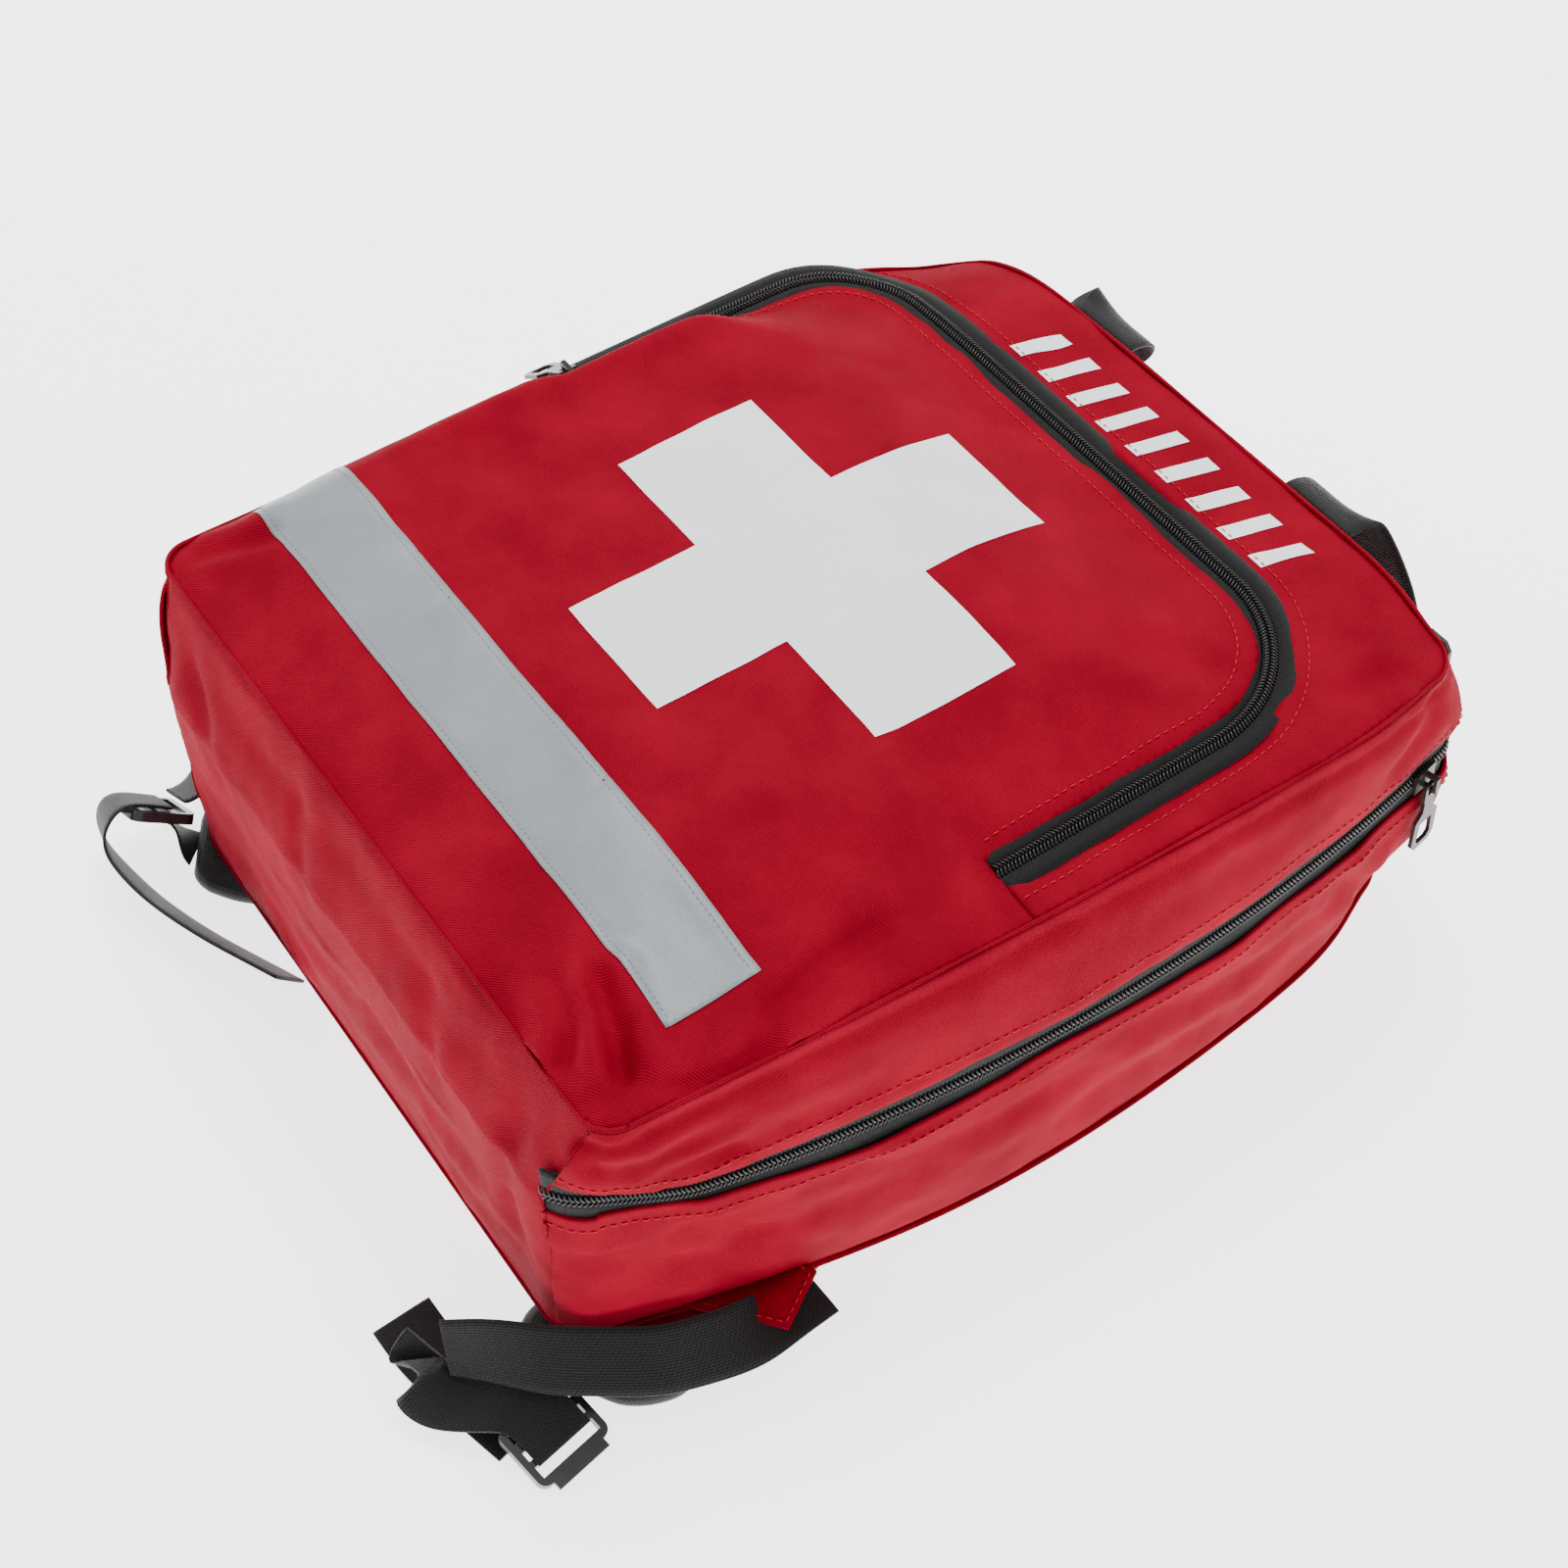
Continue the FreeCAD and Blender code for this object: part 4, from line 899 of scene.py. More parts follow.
def side_surface(idx, zone, rows):
    """rear: back seam to hem; front: hem to front seam. Returns grid points (rows, len(idx), 3) and normals out"""
    n = len(idx)
    if zone == "rear":
        a, b = rb_[idx], rz_[idx]
        za = np.full(n, 14.6)
        zb = lower_hem(idx)
    elif zone == "front":
        a, b = rz_[idx], rs_[idx]
        za = upper_hem(idx)
        zb = np.full(n, 154.4)
    elif zone == "panel_rear":
        a, b = rb_[idx], rz_[idx]
        za, zb = np.full(n, 14.6), np.full(n, 101.0)
    else:
        a, b = rz_[idx], rs_[idx]
        za, zb = np.full(n, 101.0), np.full(n, 154.4)
    N = np.column_stack([nz_[idx], np.zeros(n)])
    pts = []
    for r in range(rows):
        t = r / (rows - 1)
        z = za + (zb - za) * t
        if zone == "rear":
            zz = (z - 14.6) / (89 - 14.6)
            w = np.clip(zz, 0, 1)
            q = a + (b - a) * (w[:, None])
            puff = 3.6 * np.sin(math.pi * np.clip(0.08 + 0.84 * zz, 0, 1)) ** 0.8 - 1.6
            puff = puff + 2.0 * sstep(z, 78, 88)          # rolls out over the tape
            puff = puff - 1.2 * np.exp(-((z - 15) / 4.0) ** 2)
        elif zone == "front":
            w = np.clip((z - 113) / 41, 0, 1)
            q = a + (b - a) * w[:, None]
            puff = 1.6 + 2.4 * np.sin(math.pi * w) ** 0.9 - 2.3 * np.exp(-((w - 0.86) / 0.07) ** 2) - 1.0 * sstep(w, 0.9, 1.0)
        elif zone == "panel_rear":
            w = np.clip((z - 14.6) / (89 - 14.6), 0, 1)
            q = a + (b - a) * w[:, None]
            puff = 1.4 * np.sin(math.pi * np.clip((z - 14.6) / 140, 0, 1)) - 0.6
        else:
            w = np.clip((z - 113) / 41, 0, 1)
            q = a + (b - a) * w[:, None]
            puff = 1.4 * np.sin(math.pi * np.clip((z - 14.6) / 140, 0, 1)) - 0.6 - 0.8 * sstep(w, 0.9, 1.0)
        P = np.column_stack([q, z]) + N * np.reshape(puff, (-1, 1))
        pts.append(P)
    G = np.array(pts)
    flat = G.reshape(-1, 3)
    nn = np.tile(N, (rows, 1))
    f = side_fold(flat)
    nz = 1.7 * fbm(flat, 46.0, 3, 4.0) + 0.4 * fbm(flat, 13.0, 2, 9.0)
    zz = flat[:, 2]
    edge = sstep(zz, 14.6, 22) * (1 - sstep(zz, 150, 154.4))
    amp = np.ones(len(flat))
    # less movement right at the zip
    amp *= np.where(np.abs(zz - 101) < 14, 0.55, 1.0)
    flat = flat + nn * ((f + nz) * edge * amp)[:, None]
    return flat.reshape(G.shape), nn.reshape(G.shape)


def surface_object(name, G, idx, mat, rows, flip=False):
    n = len(idx)
    s = np.concatenate([[0], np.cumsum(np.linalg.norm(np.diff(rz_[idx], axis=0), axis=1))])
    uv = np.stack([np.tile(s, rows), G.reshape(-1, 3)[:, 2]], 1)
    return make(name, G.reshape(-1, 3), grid_faces(n, rows, False, flip), mat, uv)


Gr, Nr = side_surface(SIDES, "rear", 40)
rear = surface_object("rear_gusset_cloth", Gr, SIDES, RED, 40)
thicken(rear, 1.5)
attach(rear, "root")
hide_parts("rear_gusset")
Gf, Nf = side_surface(SIDES, "front", 26)
frontg = surface_object("front_gusset_cloth", Gf, SIDES, RED, 26)
thicken(frontg, 1.5)
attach(frontg, "lid")
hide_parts("front_gusset")
Gp1, _ = side_surface(PANEL, "panel_rear", 40)
Gp2, _ = side_surface(PANEL, "panel_front", 28)
Gp = np.concatenate([Gp1, Gp2[1:]], 0)
panel = surface_object("bottom_panel_cloth", Gp, PANEL, RED, len(Gp))
thicken(panel, 1.5)
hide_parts("bottom_panel_rear", "bottom_panel_front")

# turned seam along the front edge, and the back seam
seam_path = np.column_stack([rs_ - ns_ * 0.3, np.full(NR, 154.9)])
seam_path[:, 2] += 0.3 * np.sin(arc_s / 17.0)
seam = long_tube("front_seam_roll", seam_path, 0.85 + 0.15 * np.sin(arc_s / 13.0), RED, 8, True)
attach(seam, "lid")
back_path = np.column_stack([rb_ - nb_ * 0.4, np.full(NR, 14.6)])
bseam = long_tube("back_seam_roll", back_path, 1.0, RED, 8, True)
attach(bseam, "root")

# back panel: one quilted sheet inside the back seam
_lp = [tuple(q) for q in ring(RB, 0.8)[::3]]
_pts = [Vector(q) for q in _lp]
_gx = np.arange(-176, 176, 6.0)
_G = np.array([(a, b) for b in np.arange(-188, 204, 6.0) for a in _gx])
_L = np.array(_lp)
_in = np.zeros(len(_G), bool)
_j = len(_L) - 1
for _i in range(len(_L)):
    if _L[_i][1] != _L[_j][1]:
        _in ^= ((_L[_i][1] > _G[:, 1]) != (_L[_j][1] > _G[:, 1])) & (_G[:, 0] < (_L[_j][0] - _L[_i][0]) * (_G[:, 1] - _L[_i][1]) / (_L[_j][1] - _L[_i][1]) + _L[_i][0])
    _j = _i
_G = _G[_in]
_d, _ = poly_dist(_G, np.vstack([_L, _L[:1]]))
_G = _G[_d > 3.0]
_vo, _eo, _fo, _, _, _ = geometry.delaunay_2d_cdt(_pts + [Vector((float(a), float(b))) for a, b in _G], [(i, (i + 1) % len(_pts)) for i in range(len(_pts))], [], 2, 1e-5)
_Q = np.array([(v[0], v[1]) for v in _vo])
_q = 13.6 + 0.9 * (1 - np.abs(np.sin(math.pi * (_Q[:, 0] + _Q[:, 1]) / 64.0) * np.sin(math.pi * (_Q[:, 0] - _Q[:, 1]) / 64.0)) ** 0.35)
_fl = []
for f in _fo:
    a, b, c = _Q[f[0]], _Q[f[1]], _Q[f[2]]
    _fl.append(tuple(f) if (b[0] - a[0]) * (c[1] - a[1]) - (b[1] - a[1]) * (c[0] - a[0]) < 0 else tuple(f)[::-1])
bpan = make("back_panel_cloth", np.column_stack([_Q, _q]), _fl, RED, _Q)
thicken(bpan, 1.4)
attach(bpan, "root")
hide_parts("back_panel")

# panel seams at the lower corners
for k, (ii, nm) in enumerate(((0, "left"), (len(PANEL) - 1, "right"))):
    col = Gp[:, ii, :]
    lowc = col[col[:, 2] < 100.0]
    highc = col[col[:, 2] > 102.0]
    o1 = long_tube("panel_seam_%s_rear" % nm, lowc, 0.8, RED, 6)
    o2 = long_tube("panel_seam_%s_front" % nm, highc, 0.8, RED, 6)
    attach(o1, "root")
    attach(o2, "lid")

# stitch rows beside the main zip
rowi = 37
for name, G, N, r, body in (("stitch_zip_rear", Gr, Nr, 36, "root"), ("stitch_zip_front", Gf, Nf, 4, "lid")):
    o = tubes(name, stitch_paths(G[r], N[r], 2.6, 1.3, 0.3, 0.42), [0.22, 0.3, 0.3, 0.3, 0.22], THREAD, 6)
    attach(o, body)


# ---------------------------------------------------------------- zips
def band_along(name, P2, N2, z0, z1, d, mat, thick=1.0, rows=4):
    n = len(P2)
    pts = []
    for r in range(rows):
        z = z0 + (z1 - z0) * r / (rows - 1)
        pts.append(np.column_stack([P2 - N2 * d, z + zlift(P2)]))
    s = np.concatenate([[0], np.cumsum(np.linalg.norm(np.diff(P2, axis=0), axis=1))])
    G = np.array(pts).reshape(-1, 3)
    uv = np.stack([np.tile(s, rows), G[:, 2]], 1)
    return thicken(make(name, G, grid_faces(n, rows), mat, uv), thick)


P_side, N_side = rz_[SIDES], nz_[SIDES]
tr_ = band_along("main_tape_rear_cloth", P_side, N_side, 86.0, 98.6, 0.7, TAPE)
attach(tr_, "root")
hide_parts("main_zip_tape_rear")
tf_ = band_along("main_tape_front_cloth", P_side, N_side, 103.4, 115.0, 0.7, TAPE)
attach(tf_, "lid")
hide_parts("main_zip_tape_front")


def coil(name, P, T, C, Nn, pitch, side, mat, width=3.3, height=1.5, rad=0.46, phase=0.0):
    """one row of coil loops: P on the zip's middle line, T along, C across (towards this row's tape), N out"""
    d = np.concatenate([[0], np.cumsum(np.linalg.norm(np.diff(P, axis=0), axis=1))])
    ts = np.arange(phase * pitch + 0.4, d[-1] - 0.4, pitch)

    def at(A):
        B = np.stack([np.interp(ts, d, A[:, k]) for k in range(3)], 1)
        return B
    p = at(P)
    t, c, n = at(T), at(C), at(Nn)
    prof = [(-0.42, 1.0, -0.05), (-0.34, 0.80, 0.62), (-0.12, 0.52, 0.96), (0.14, 0.24, 0.92), (0.34, 0.04, 0.55), (0.42, -0.06, 0.05)]
    path = np.stack([p + t * (a * pitch * 1.25) + c * (b * width) + n * (h * height) for a, b, h in prof], 1)
    return tubes(name, path, [rad * 0.9, rad, rad * 1.08, rad * 1.08, rad, rad * 0.85], mat, 6)


def frames_side(off):
    P = np.column_stack([P_side + N_side * off, 101.0 + zlift(P_side)])
    T = np.gradient(P, axis=0)
    T /= np.linalg.norm(T, axis=1, keepdims=True)
    Z = np.tile([0, 0, 1.0], (len(P), 1))
    N = np.column_stack([N_side, np.zeros(len(P))])
    return P, T, Z, N


P_, T_, Z_, N_ = frames_side(-0.9)
c1 = coil("main_coil_front_loops", P_, T_, Z_, N_, 1.75, 1, COIL)
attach(c1, "lid")
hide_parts("main_zip_coil_front")
c2 = coil("main_coil_rear_loops", P_, T_, -Z_, N_, 1.75, -1, COIL, phase=0.5)
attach(c2, "root")
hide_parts("main_zip_coil_rear")

# pocket zip lies on the front
ZP0 = 157.0


def pocket_frames(y0):
    L = pocket_line(0.0, 30, 1.5, y0)
    n = len(L)
    P = np.column_stack([L, np.full(n, ZP0)])
    T = np.gradient(P, axis=0)
    T /= np.linalg.norm(T, axis=1, keepdims=True)
    Nn = np.tile([0, 0, 1.0], (n, 1))
    C = np.cross(T, Nn)          # outwards
    return P, T, C, Nn


P_, T_, C_, N_ = pocket_frames(PZ_Y)
pc1 = coil("pocket_coil_outer_loops", P_, T_, C_, N_, 1.6, 1, COIL, 3.1, 1.45, 0.44)
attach(pc1, "lid")
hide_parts("pocket_zip_coil_outer")
keep = ~((P_[:, 0] < -150) & (P_[:, 1] < 17))
pc2 = coil("pocket_coil_inner_loops", P_[keep], T_[keep], -C_[keep], N_[keep], 1.6, -1, COIL, 3.1, 1.45, 0.44, 0.5)
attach(pc2, "pocket_flap")
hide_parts("pocket_zip_coil_inner")


def flat_band(name, offs, z, mat, body, trim=None, thick=0.8, y0=PZ_Y):
    L = [pocket_line(o, 30, 2.0, y0) for o in offs]
    n = 260
    R = [resample(l, n=n)[0] for l in L]
    if trim is not None:
        R = [r[:trim] for r in R]
        n = trim
    zz = z if isinstance(z, (list, tuple)) else [z] * len(offs)
    G = np.vstack([np.column_stack([r, np.full(n, q)]) for r, q in zip(R, zz)])
    s = np.concatenate([[0], np.cumsum(np.linalg.norm(np.diff(R[0], axis=0), axis=1))])
    uv = np.stack([np.tile(s, len(offs)), np.repeat(np.array(offs, float), n)], 1)
    ob = make(name, G, grid_faces(n, len(offs), False, offs[0] < offs[-1]), mat, uv)
    return thicken(ob, thick)


pt1 = flat_band("pocket_tape_outer_cloth", [10.5, 7.0, 1.2], [156.6, 156.9, 156.9], TAPE, "lid")
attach(pt1, "lid")
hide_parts("pocket_zip_tape_outer")
pt2 = flat_band("pocket_tape_inner_cloth", [-1.2, -6.0, -11.0], [156.9, 156.9, 156.6], TAPE, "pocket_flap", 248)
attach(pt2, "pocket_flap")
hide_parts("pocket_zip_tape_inner")

def sheet_in(name, loop, z, thick, mat, node, body, dz=None):
    L_ = np.array(loop)
    g = np.array([(a, b) for b in np.arange(L_[:, 1].min(), L_[:, 1].max(), 8.0) for a in np.arange(L_[:, 0].min(), L_[:, 0].max(), 8.0)])
    c = np.zeros(len(g), bool)
    j = len(L_) - 1
    for i in range(len(L_)):
        if L_[i][1] != L_[j][1]:
            c ^= ((L_[i][1] > g[:, 1]) != (L_[j][1] > g[:, 1])) & (g[:, 0] < (L_[j][0] - L_[i][0]) * (g[:, 1] - L_[i][1]) / (L_[j][1] - L_[i][1]) + L_[i][0])
        j = i
    g = g[c]
    dd, _ = poly_dist(g, np.vstack([L_, L_[:1]]))
    g = g[dd > 3.0]
    k = len(L_)
    vo, eo, fo, _, _, _ = geometry.delaunay_2d_cdt([Vector((float(a), float(b))) for a, b in L_] + [Vector((float(a), float(b))) for a, b in g], [(i, (i + 1) % k) for i in range(k)], [], 2, 1e-5)
    Q = np.array([(v[0], v[1]) for v in vo])
    zz = np.full(len(Q), float(z))
    if dz is not None:
        zz = zz + dz(Q)
    F = []
    for f in fo:
        a, b, c_ = Q[f[0]], Q[f[1]], Q[f[2]]
        F.append(tuple(f) if (b[0] - a[0]) * (c_[1] - a[1]) - (b[1] - a[1]) * (c_[0] - a[0]) > 0 else tuple(f)[::-1])
    ob = make(name, np.column_stack([Q, zz]), F, mat, Q)
    thicken(ob, thick)
    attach(ob, body)
    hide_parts(node)
    return ob


sheet_in("pocket_liner_cloth", ring(RS, 5.5)[::4], 151.4, 1.0, RED_IN, "pocket_liner", "lid", lambda q: 0.8 * np.sin(q[:, 0] / 23.0) * np.cos(q[:, 1] / 29.0) - 0.9)
sheet_in("back_foam_sheet", ring(RB, 8.0)[::4], 21.0, 5.0, FOAM, "back_foam", "root", lambda q: 0.5 * np.sin(q[:, 0] / 19.0) * np.cos(q[:, 1] / 17.0))

# ---------------------------------------------------------------- hard parts keep their CAD shape
for nm, mt in (("main_slider_side", METAL), ("main_slider_top", METAL), ("pocket_slider", METAL), ("main_pull_side", METAL),
               ("main_pull_top", METAL), ("pocket_pull", METAL), ("ladder_lock_left", PLASTIC), ("ladder_lock_right", PLASTIC)):
    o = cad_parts[nm]
    o.data.materials.clear()
    o.data.materials.append(mt)
    bv = o.modifiers.new("edge", "BEVEL")
    bv.width = 0.0009 if nm.startswith("ladder") else 0.0004
    bv.segments = 3
    bv.limit_method = "ANGLE"
    bv.angle_limit = math.radians(35)
    bv.harden_normals = False


# ---------------------------------------------------------------- webbing
def smooth_path(sections, step=1.5, blur=7.0):
    """even samples along the centre line, rounded by a moving average that keeps both ends"""
    C0 = np.array([s[0] for s in sections], float)
    W0 = np.array([np.asarray(s[1], float) / np.linalg.norm(s[1]) for s in sections])
    A, t_ = resample(np.hstack([C0, W0]) * np.array([1, 1, 1, 1e-6, 1e-6, 1e-6]), step)
    A = A * np.array([1, 1, 1, 1e6, 1e6, 1e6])
    n = len(A)
    k = max(1, int(blur / step))
    for _ in range(3):
        B = A.copy()
        for i in range(n):
            h = min(k, i, n - 1 - i)
            B[i] = A[i - h:i + h + 1].mean(0)
        A = B
    return A[:, :3], A[:, 3:]


def webbing(name, sections, width, thick, mat, per=12, crown=0.25, body=None):
    """flat webbing through (centre, width direction) points, with rounded selvedges"""
    C, Wd = smooth_path(sections)
    T = np.gradient(C, axis=0)
    T /= np.linalg.norm(T, axis=1, keepdims=True)
    Wd = Wd - 0.9 * (Wd * T).sum(1, keepdims=True) * T
    Wd /= np.linalg.norm(Wd, axis=1, keepdims=True)
    N = np.cross(T, Wd)
    N /= np.linalg.norm(N, axis=1, keepdims=True)
    h, t = width / 2, thick / 2
    sec = []
    for v in np.linspace(-1, 1, 9):
        sec.append((v * h * 0.985, t * (1 - 0.25 * v ** 6)))
    sec.append((h, 0))
    top = sec
    bot = [(a, -b) for a, b in sec[:-1]][::-1]
    prof = top + bot + [(-h, 0)]
    K = len(prof)
    n = len(C)
    s = np.concatenate([[0], np.cumsum(np.linalg.norm(np.diff(C, axis=0), axis=1))])
    V = np.array([C[i] + Wd[i] * a + N[i] * b for i in range(n) for a, b in prof])
    uv = np.array([(s[i], a if b >= 0 else a + 100) for i in range(n) for a, b in prof])
    F = []
    for i in range(n - 1):
        for k in range(K):
            k2 = (k + 1) % K
            F.append((i * K + k, (i + 1) * K + k, (i + 1) * K + k2, i * K + k2))
    F.append([k for k in range(K)])
    F.append([(n - 1) * K + k for k in range(K)][::-1])
    ob = make(name, V, F, mat, uv)
    bm = bmesh.new()
    bm.from_mesh(ob.data)
    bmesh.ops.recalc_face_normals(bm, faces=bm.faces)
    bm.to_mesh(ob.data)
    bm.free()
    if body:
        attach(ob, body)
    return ob


def unit(v):
    v = np.asarray(v, float)
    return v / np.linalg.norm(v)


def frame_of(bar, travel):
    bar = unit(bar)
    tr = unit(np.asarray(travel, float) - np.dot(bar, travel) * bar)
    return bar, tr, np.cross(bar, tr)


lock_r_c, lock_l_c = np.array([162.0, -214.0, 7.0]), np.array([-178.0, -208.0, 24.0])
lock_r = frame_of((0.2, -0.98, 0), (0.937, 0.191, -0.292))
lock_l = frame_of((-0.87, -0.04, -0.48), (-0.25, -0.85, 0.45))
bar_l = -lock_l[0]


def lp(c, f, x, y, z):
    return c + f[0] * x + f[1] * y + f[2] * z


HX = -3.0
half = [((68, 210.4, 151.6), (1, 0, 0)), ((68, 217.0, 152.4), (1, 0, 0)), ((68.5, 224.0, 150.6), (1, 0, 0.02)), ((72, 226.2, 143.0), (0.98, 0, 0.20)),
        ((84, 227.0, 132.0), (0.80, 0, 0.60)), ((97, 227.0, 118), (0.99, 0, 0.12)), ((96, 227, 101), (0.97, 0, -0.25)), ((84, 227, 88), (0.66, 0, -0.75)),
        ((60, 227, 80), (0.26, 0, -0.96)), ((30, 227, 77), (0.08, 0, -1)), ((0, 227, 76), (0, 0, -1))]
rh = [((c[0] + HX, c[1], c[2]), w) for c, w in half]
lh = [((-c[0] + HX, c[1], c[2]), (-w[0], w[1], w[2])) for c, w in half[:-1]][::-1]
handle = webbing("carry_handle_webbing", rh + lh, 38.0, 1.8, WEB)
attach(handle, "handle")
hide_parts("carry_handle")

fr = webbing("lower_webbing_right", [
    ((171.5, -104.0, 15.0), (0.97, -0.2, 0)), ((173.0, -126.0, 14.9), (0.96, -0.28, 0)), ((174.5, -140.0, 18.2), (0.80, -0.45, -0.40)),
    ((168.5, -170.0, 23.5), (0.68, -0.45, -0.57)), ((147.0, -204.0, 27.5), (0.70, -0.3, -0.64)),
    ((132.5, -218.0, 28.5), (0.55, -0.25, -0.8)), ((119.5, -232.2, 26.0), (0.42, -0.05, -0.9))], 25.0, 1.6, WEB, 12, body="root")
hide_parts("anchor_webbing_right")
tr2 = webbing("free_webbing_right", [
    (lp(lock_r_c, lock_r, 0, 6.0, 3.4), lock_r[0]), (lp(lock_r_c, lock_r, 0, -15, 3.5), lock_r[0]),
    ((141, -227, 12.8), (0.58, -0.81, -0.05)), ((132.5, -236, 10.6), (0.72, -0.69, -0.05)),
    ((124.0, -244.0, 10.6), (0.80, -0.45, -0.4)), ((117.0, -246.5, 14.5), (0.55, -0.25, -0.8)),
    ((114.0, -241.5, 20.0), (0.35, -0.1, -0.93)), ((115.5, -236.0, 24.0), (0.40, 0.0, -0.92))], 25.0, 1.6, WEB, 10, body="strap_right")
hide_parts("tail_webbing_right")
te = webbing("tail_end_right_webbing", [((154.0, -222.5, 0.95), (0.31, -0.95, 0)), ((128, -229, 0.95), (0.31, -0.95, 0)),
                                        ((103.5, -234.5, 1.0), (0.31, -0.95, 0)), ((84.5, -235.0, 1.6), (0.31, -0.95, 0))], 25.0, 1.6, WEB, 8, body="strap_right")
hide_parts("tail_end_right")
tl2 = webbing("free_webbing_left", [
    (lp(lock_l_c, lock_l, 0, -4.0, 3.4), bar_l), (lp(lock_l_c, lock_l, 0, 18, 4.6), bar_l),
    ((-182.5, -230.5, 29.5), (0.86, -0.05, 0.5)), ((-175.5, -233.0, 20.5), (0.8, -0.2, 0.6)),
    ((-161, -230.5, 14.4), (0.66, -0.3, 0.7)), ((-145, -227, 11.8), (0.58, -0.33, 0.75)),
    ((-127, -221.5, 11.4), (0.56, -0.34, 0.76)), ((-108, -214.5, 11.4), (0.56, -0.34, 0.76)),
    ((-90, -206.5, 11.4), (0.56, -0.34, 0.76)), ((-73, -199.0, 11.4), (0.56, -0.34, 0.76))], 25.0, 1.6, WEB, 10, body="strap_left")
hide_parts("tail_webbing_left")
fl = webbing("lower_webbing_left", [
    ((-190.0, -108.0, 15.0), (0.97, 0.2, 0)), ((-192.0, -128.0, 15.0), (0.97, 0.1, 0)), ((-190.5, -150.0, 21.0), (0.93, 0.05, 0.3)),
    ((-188.0, -172.0, 31.0), (0.87, 0.04, 0.48)), (lp(lock_l_c, lock_l, 0, -17.0, 7.6), bar_l), (lp(lock_l_c, lock_l, 0, -9.0, 6.6), bar_l)], 25.0, 1.6, WEB, 10, body="root")
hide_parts("anchor_webbing_left")
l1 = webbing("pad_loop_right_webbing", [((139.0, -208.0, 7.2), (0.2, -0.98, 0)), (lp(lock_r_c, lock_r, 0, -14.0, -3.6), lock_r[0]),
                                        (lp(lock_r_c, lock_r, 0, -5.0, -3.6), lock_r[0])], 22.0, 1.3, WEB, 8, body="strap_right")
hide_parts("pad_loop_right")
l2 = webbing("pad_loop_left_webbing", [((-162.6, -198.4, 6.5), (0.84, -0.54, 0.05)), ((-168.5, -203.5, 12.0), (0.87, -0.2, 0.3)),
                                       (lp(lock_l_c, lock_l, 0, -11.0, -3.4), bar_l), (lp(lock_l_c, lock_l, 0, -4.0, -3.4), bar_l)], 22.0, 1.3, WEB, 8, body="strap_left")
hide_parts("pad_loop_left")

# ---------------------------------------------------------------- anchor tabs
for nm, poly in (("right", [(150, -150), (160, -103), (166.5, -101.5), (180.5, -123.5)]), ("left", [(-158, -152), (-166, -105), (-177, -103), (-193, -127)])):
    lo_, hi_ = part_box("anchor_tab_" + nm)
    D = np.array(dense(poly, 3.0))
    cxy = np.array(poly).mean(0)
    pts = [Vector((float(a), float(b))) for a, b in D]
    k = len(pts)
    vo, eo, fo, _, _, _ = geometry.delaunay_2d_cdt(pts, [(i, (i + 1) % k) for i in range(k)], [], 2, 1e-5)
    Q = np.array([(v[0], v[1]) for v in vo])
    z = 17.7 + 0.25 * np.sin(Q[:, 0] / 6.0) * np.cos(Q[:, 1] / 7.0)
    ob = make("anchor_tab_%s_cloth" % nm, np.column_stack([Q, z]), [tuple(f) for f in fo], RED, Q)
    bm = bmesh.new()
    bm.from_mesh(ob.data)
    bmesh.ops.recalc_face_normals(bm, faces=bm.faces)
    bm.normal_update()
    if sum(f.normal.z for f in bm.faces) < 0:
        bmesh.ops.reverse_faces(bm, faces=bm.faces)
    bm.to_mesh(ob.data)
    bm.free()
    thicken(ob, 1.5)
    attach(ob, "root")
    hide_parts("anchor_tab_" + nm)
    ins = cxy + (np.array(poly) - cxy) * 0.84
    path = np.vstack([ins[1:], ins[:1]]) if nm == "right" else ins
    P3 = np.column_stack([resample(np.vstack([path]), 1.0)[0], np.full(len(resample(np.vstack([path]), 1.0)[0]), 17.75)])
    so = tubes("stitch_tab_" + nm, stitch_paths(P3, np.tile([0, 0, 1.0], (len(P3), 1)), 2.4, 1.6, 0.2, 0.4), [0.25, 0.33, 0.33, 0.33, 0.25], THREAD)
    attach(so, "root")

# ---------------------------------------------------------------- shoulder pads
PADS = {
    "right": ([(82, 193), (88, 94), (110, 24), (139, -40), (160, -98), (166, -139), (172, -155), (175, -167), (172, -178), (166, -187), (157, -193), (146, -197.5), (135, -202), (126, -205)],
              [(126, -205), (117, -202), (112, -190), (111, -158), (101, -112), (80, -56), (52, 8), (29, 94), (21, 193)]),
    "left": ([(-82, 193), (-88, 94), (-110, 24), (-136, -38), (-158, -95), (-171, -131), (-179, -158), (-182, -181), (-176, -190)],
             [(-149, -207), (-138, -204), (-121, -190), (-110, -162), (-98, -120), (-78, -60), (-52, 8), (-29, 94), (-21, 193)]),
}


def pad_outline(name):
    a, b = PADS[name]
    A, B = catmull(a, 8), catmull(b, 8)
    P = np.vstack([A, B]) if np.linalg.norm(A[-1] - B[0]) > 1 else np.vstack([A, B[1:]])
    return resample(np.vstack([P, P[:1]]), 4.0)[0][:-1]


def inset_poly(P, d):
    t = np.roll(P, -1, 0) - np.roll(P, 1, 0)
    t /= np.linalg.norm(t, axis=1, keepdims=True)
    area = 0.5 * np.sum(P[:, 0] * np.roll(P[:, 1], -1) - np.roll(P[:, 0], -1) * P[:, 1])
    n = np.stack([-t[:, 1], t[:, 0]], 1) * (1 if area > 0 else -1)
    return P + n * d


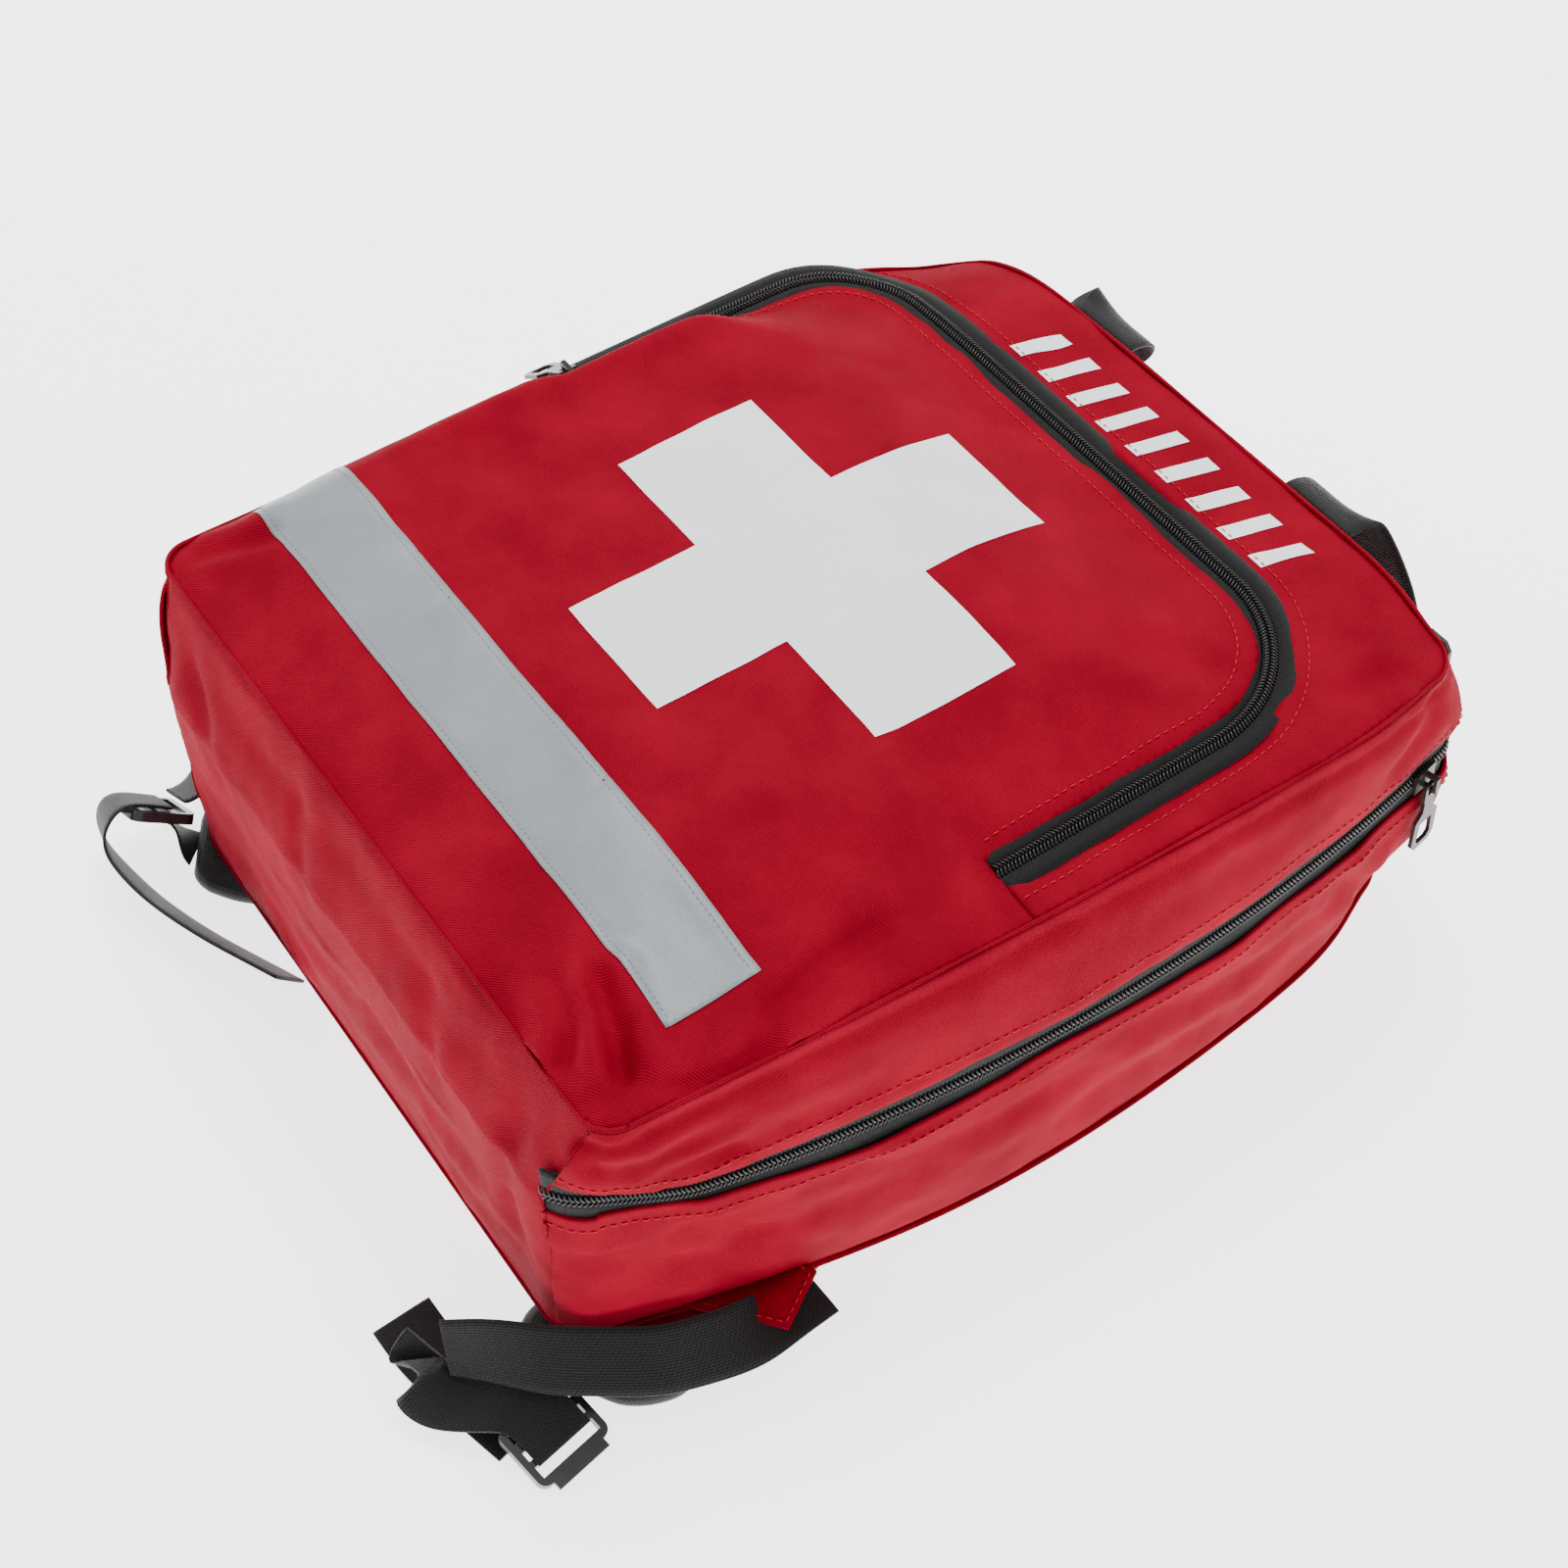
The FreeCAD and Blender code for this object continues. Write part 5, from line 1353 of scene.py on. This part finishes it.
def pad_object(name):
    out = inset_poly(pad_outline(name), 2.2)
    pitch = 4.0
    L = out
    xs = np.arange(L[:, 0].min(), L[:, 0].max(), pitch)
    ys = np.arange(L[:, 1].min(), L[:, 1].max(), pitch)
    G = np.array([(x_, y_) for y_ in ys for x_ in xs])
    c = np.zeros(len(G), bool)
    j = len(L) - 1
    for i in range(len(L)):
        xi, yi, xj, yj = L[i][0], L[i][1], L[j][0], L[j][1]
        if yi != yj:
            c ^= ((yi > G[:, 1]) != (yj > G[:, 1])) & (G[:, 0] < (xj - xi) * (G[:, 1] - yi) / (yj - yi) + xi)
        j = i
    G = G[c]
    d_, _ = poly_dist(G, np.vstack([L, L[:1]]))
    G = G[d_ > 1.6]
    pts = [Vector((float(a), float(b))) for a, b in L] + [Vector((float(a), float(b))) for a, b in G]
    k = len(L)
    vo, eo, fo, _, _, _ = geometry.delaunay_2d_cdt(pts, [(i, (i + 1) % k) for i in range(k)], [], 2, 1e-5)
    Q = np.array([(v[0], v[1]) for v in vo])
    dd, _ = poly_dist(Q, np.vstack([L, L[:1]]))
    prof = np.clip(dd / 9.0, 0, 1)
    prof = np.sin(prof * math.pi / 2) ** 0.8
    top = 6.2 + 1.6 + 3.6 * prof
    bot = 6.2 - 1.6 - 3.6 * prof
    n = len(Q)
    P = np.vstack([np.column_stack([Q, top]), np.column_stack([Q, bot])])
    F = []
    for f in fo:
        a, b, c_ = Q[f[0]], Q[f[1]], Q[f[2]]
        cr_ = (b[0] - a[0]) * (c_[1] - a[1]) - (b[1] - a[1]) * (c_[0] - a[0])
        g = tuple(f) if cr_ > 0 else tuple(f)[::-1]
        F.append(g)
        F.append(tuple(i + n for i in g[::-1]))
    edge = [i for i in range(n) if dd[i] < 1e-3]
    # close the rim
    cnt = {}
    for f in F:
        for i in range(len(f)):
            e = (f[i], f[(i + 1) % len(f)])
            cnt[e] = cnt.get(e, 0) + 1
    for (a, b) in list(cnt):
        if (b, a) not in cnt and a < n and b < n:
            F.append((b, a, a + n, b + n))
    ob = make("shoulder_pad_" + name, P, F, RED, np.vstack([Q, Q + 500]))
    return ob


def run_cloth(ob, cap, frames=14, pressure=4.0):
    """lets the padded cover fill out under inside pressure, then keeps the shape"""
    bpy.context.view_layer.objects.active = ob
    start = np.empty(len(ob.data.vertices) * 3)
    ob.data.vertices.foreach_get("co", start)
    start = start.reshape(-1, 3)
    md = ob.modifiers.new("Cloth", "CLOTH")
    st_ = md.settings
    st_.use_pressure = True
    st_.uniform_pressure_force = pressure
    st_.effector_weights.gravity = 0.0
    st_.quality = 4
    st_.mass = 0.15
    st_.tension_stiffness = 15
    st_.compression_stiffness = 15
    st_.bending_stiffness = 0.6
    st_.time_scale = 1.0
    md.collision_settings.use_collision = False
    sc = bpy.context.scene
    sc.frame_set(1)
    for f in range(1, frames + 1):
        sc.frame_set(f)
    dg = bpy.context.evaluated_depsgraph_get()
    ev = ob.evaluated_get(dg)
    me = ev.to_mesh()
    co = np.empty(len(me.vertices) * 3)
    me.vertices.foreach_get("co", co)
    co = co.reshape(-1, 3)
    ev.to_mesh_clear()
    ob.modifiers.remove(md)
    sc.frame_set(1)
    mv = co - start
    ln = np.linalg.norm(mv, axis=1, keepdims=True)
    mv = mv * np.minimum(1.0, (cap / 1000) / np.maximum(ln, 1e-9))
    ob.data.vertices.foreach_set("co", (start + mv).ravel())
    ob.data.update()
    return ob


for side in ("right", "left"):
    pad = pad_object(side)
    run_cloth(pad, 1.4, 12, 3.0)
    co = np.empty(len(pad.data.vertices) * 3)
    pad.data.vertices.foreach_get("co", co)
    co = co.reshape(-1, 3)
    co[:, 2] = np.clip(co[:, 2], 0.0002, 0.0123)
    pad.data.vertices.foreach_set("co", co.ravel())
    pad.data.update()
    sub = pad.modifiers.new("sub", "SUBSURF")
    sub.levels = 1
    sub.render_levels = 1
    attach(pad, "strap_" + side)
    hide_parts("strap_pad_cover_" + side, "strap_pad_foam_" + side)
    # ribbed binding wrapped round the pad's edge
    O = inset_poly(pad_outline(side), 0.0)
    O, _ = resample(np.vstack([O, O[:1]]), 3.0)
    O = O[:-1]
    t = np.roll(O, -1, 0) - np.roll(O, 1, 0)
    t /= np.linalg.norm(t, axis=1, keepdims=True)
    ar = 0.5 * np.sum(O[:, 0] * np.roll(O[:, 1], -1) - np.roll(O[:, 0], -1) * O[:, 1])
    nin = np.stack([-t[:, 1], t[:, 0]], 1) * (1 if ar > 0 else -1)
    prof = [(12.0, 11.9), (9.0, 12.2), (5.0, 11.8), (2.0, 10.3), (0.5, 8.2), (0.0, 6.2), (0.5, 4.2), (2.0, 2.1), (5.0, 0.6), (9.0, 0.2), (12.0, 0.5)]
    n = len(O)
    V = np.array([(O[i][0] + nin[i][0] * a, O[i][1] + nin[i][1] * a, z) for i in range(n) for a, z in prof])
    K = len(prof)
    F = []
    for i in range(n):
        j = (i + 1) % n
        for k in range(K - 1):
            F.append((i * K + k, i * K + k + 1, j * K + k + 1, j * K + k))
    s = np.arange(n) * 3.0
    uv = np.array([(s[i], k * 2.4) for i in range(n) for k in range(K)])
    bd = make("pad_binding_%s_tape" % side, V, F, BIND, uv)
    bm = bmesh.new()
    bm.from_mesh(bd.data)
    bmesh.ops.recalc_face_normals(bm, faces=bm.faces)
    bm.to_mesh(bd.data)
    bm.free()
    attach(bd, "strap_" + side)
    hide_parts("strap_pad_binding_" + side)

# cloth that crosses a joint, last, when its mesh is final
A_ = W([[0, PZ_Y - 12, 177]])[0]
B_ = W([[0, PZ_Y + 12, 177]])[0]
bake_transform(pocket)
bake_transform(cross)
A2 = W([[0, -193, 95.5]])[0]
B2 = W([[0, -193, 106.5]])[0]
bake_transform(panel)

# ---------------------------------------------------------------- stage and light
fm = hard_mat("floor_paper", (0.86, 0.86, 0.86), (0.90, 0.90, 0.90), 0.8, 0, 0.1, 3.0, 0.00001)
fbs = [n for n in fm.node_tree.nodes if n.type == "BSDF_PRINCIPLED"][0]
fbs.inputs["Emission Color"].default_value = (1, 1, 1, 1)
fbs.inputs["Emission Strength"].default_value = 2.6
fme = bpy.data.meshes.new("floor")
S = 6.0
fme.from_pydata([(-S, -S, -0.0004), (S, -S, -0.0004), (S, S, -0.0004), (-S, S, -0.0004)], [], [(0, 1, 2, 3)])
fme.materials.append(fm)
floor = bpy.data.objects.new("floor", fme)
bpy.context.collection.objects.link(floor)

world = bpy.data.worlds.new("studio")
bpy.context.scene.world = world
world.use_nodes = True
bg = world.node_tree.nodes["Background"]
bg.inputs[0].default_value = (1, 1, 1, 1)
bg.inputs[1].default_value = 0.95


def area(name, loc, target, size, power, color=(1, 1, 1)):
    ld = bpy.data.lights.new(name, "AREA")
    ld.shape = "SQUARE"
    ld.size = size
    ld.energy = power
    ld.color = color
    ob = bpy.data.objects.new(name, ld)
    bpy.context.collection.objects.link(ob)
    ob.location = loc
    ob.rotation_euler = (Vector(target) - Vector(loc)).to_track_quat("-Z", "Y").to_euler()
    return ob


area("key", (-0.35, 0.45, 1.7), (0, 0, 0.05), 0.7, 26)
area("fill", (1.7, 0.5, 0.9), (0, 0, 0.05), 0.8, 9)
area("rim", (-1.3, -0.6, 1.0), (0, 0, 0.05), 0.7, 5)
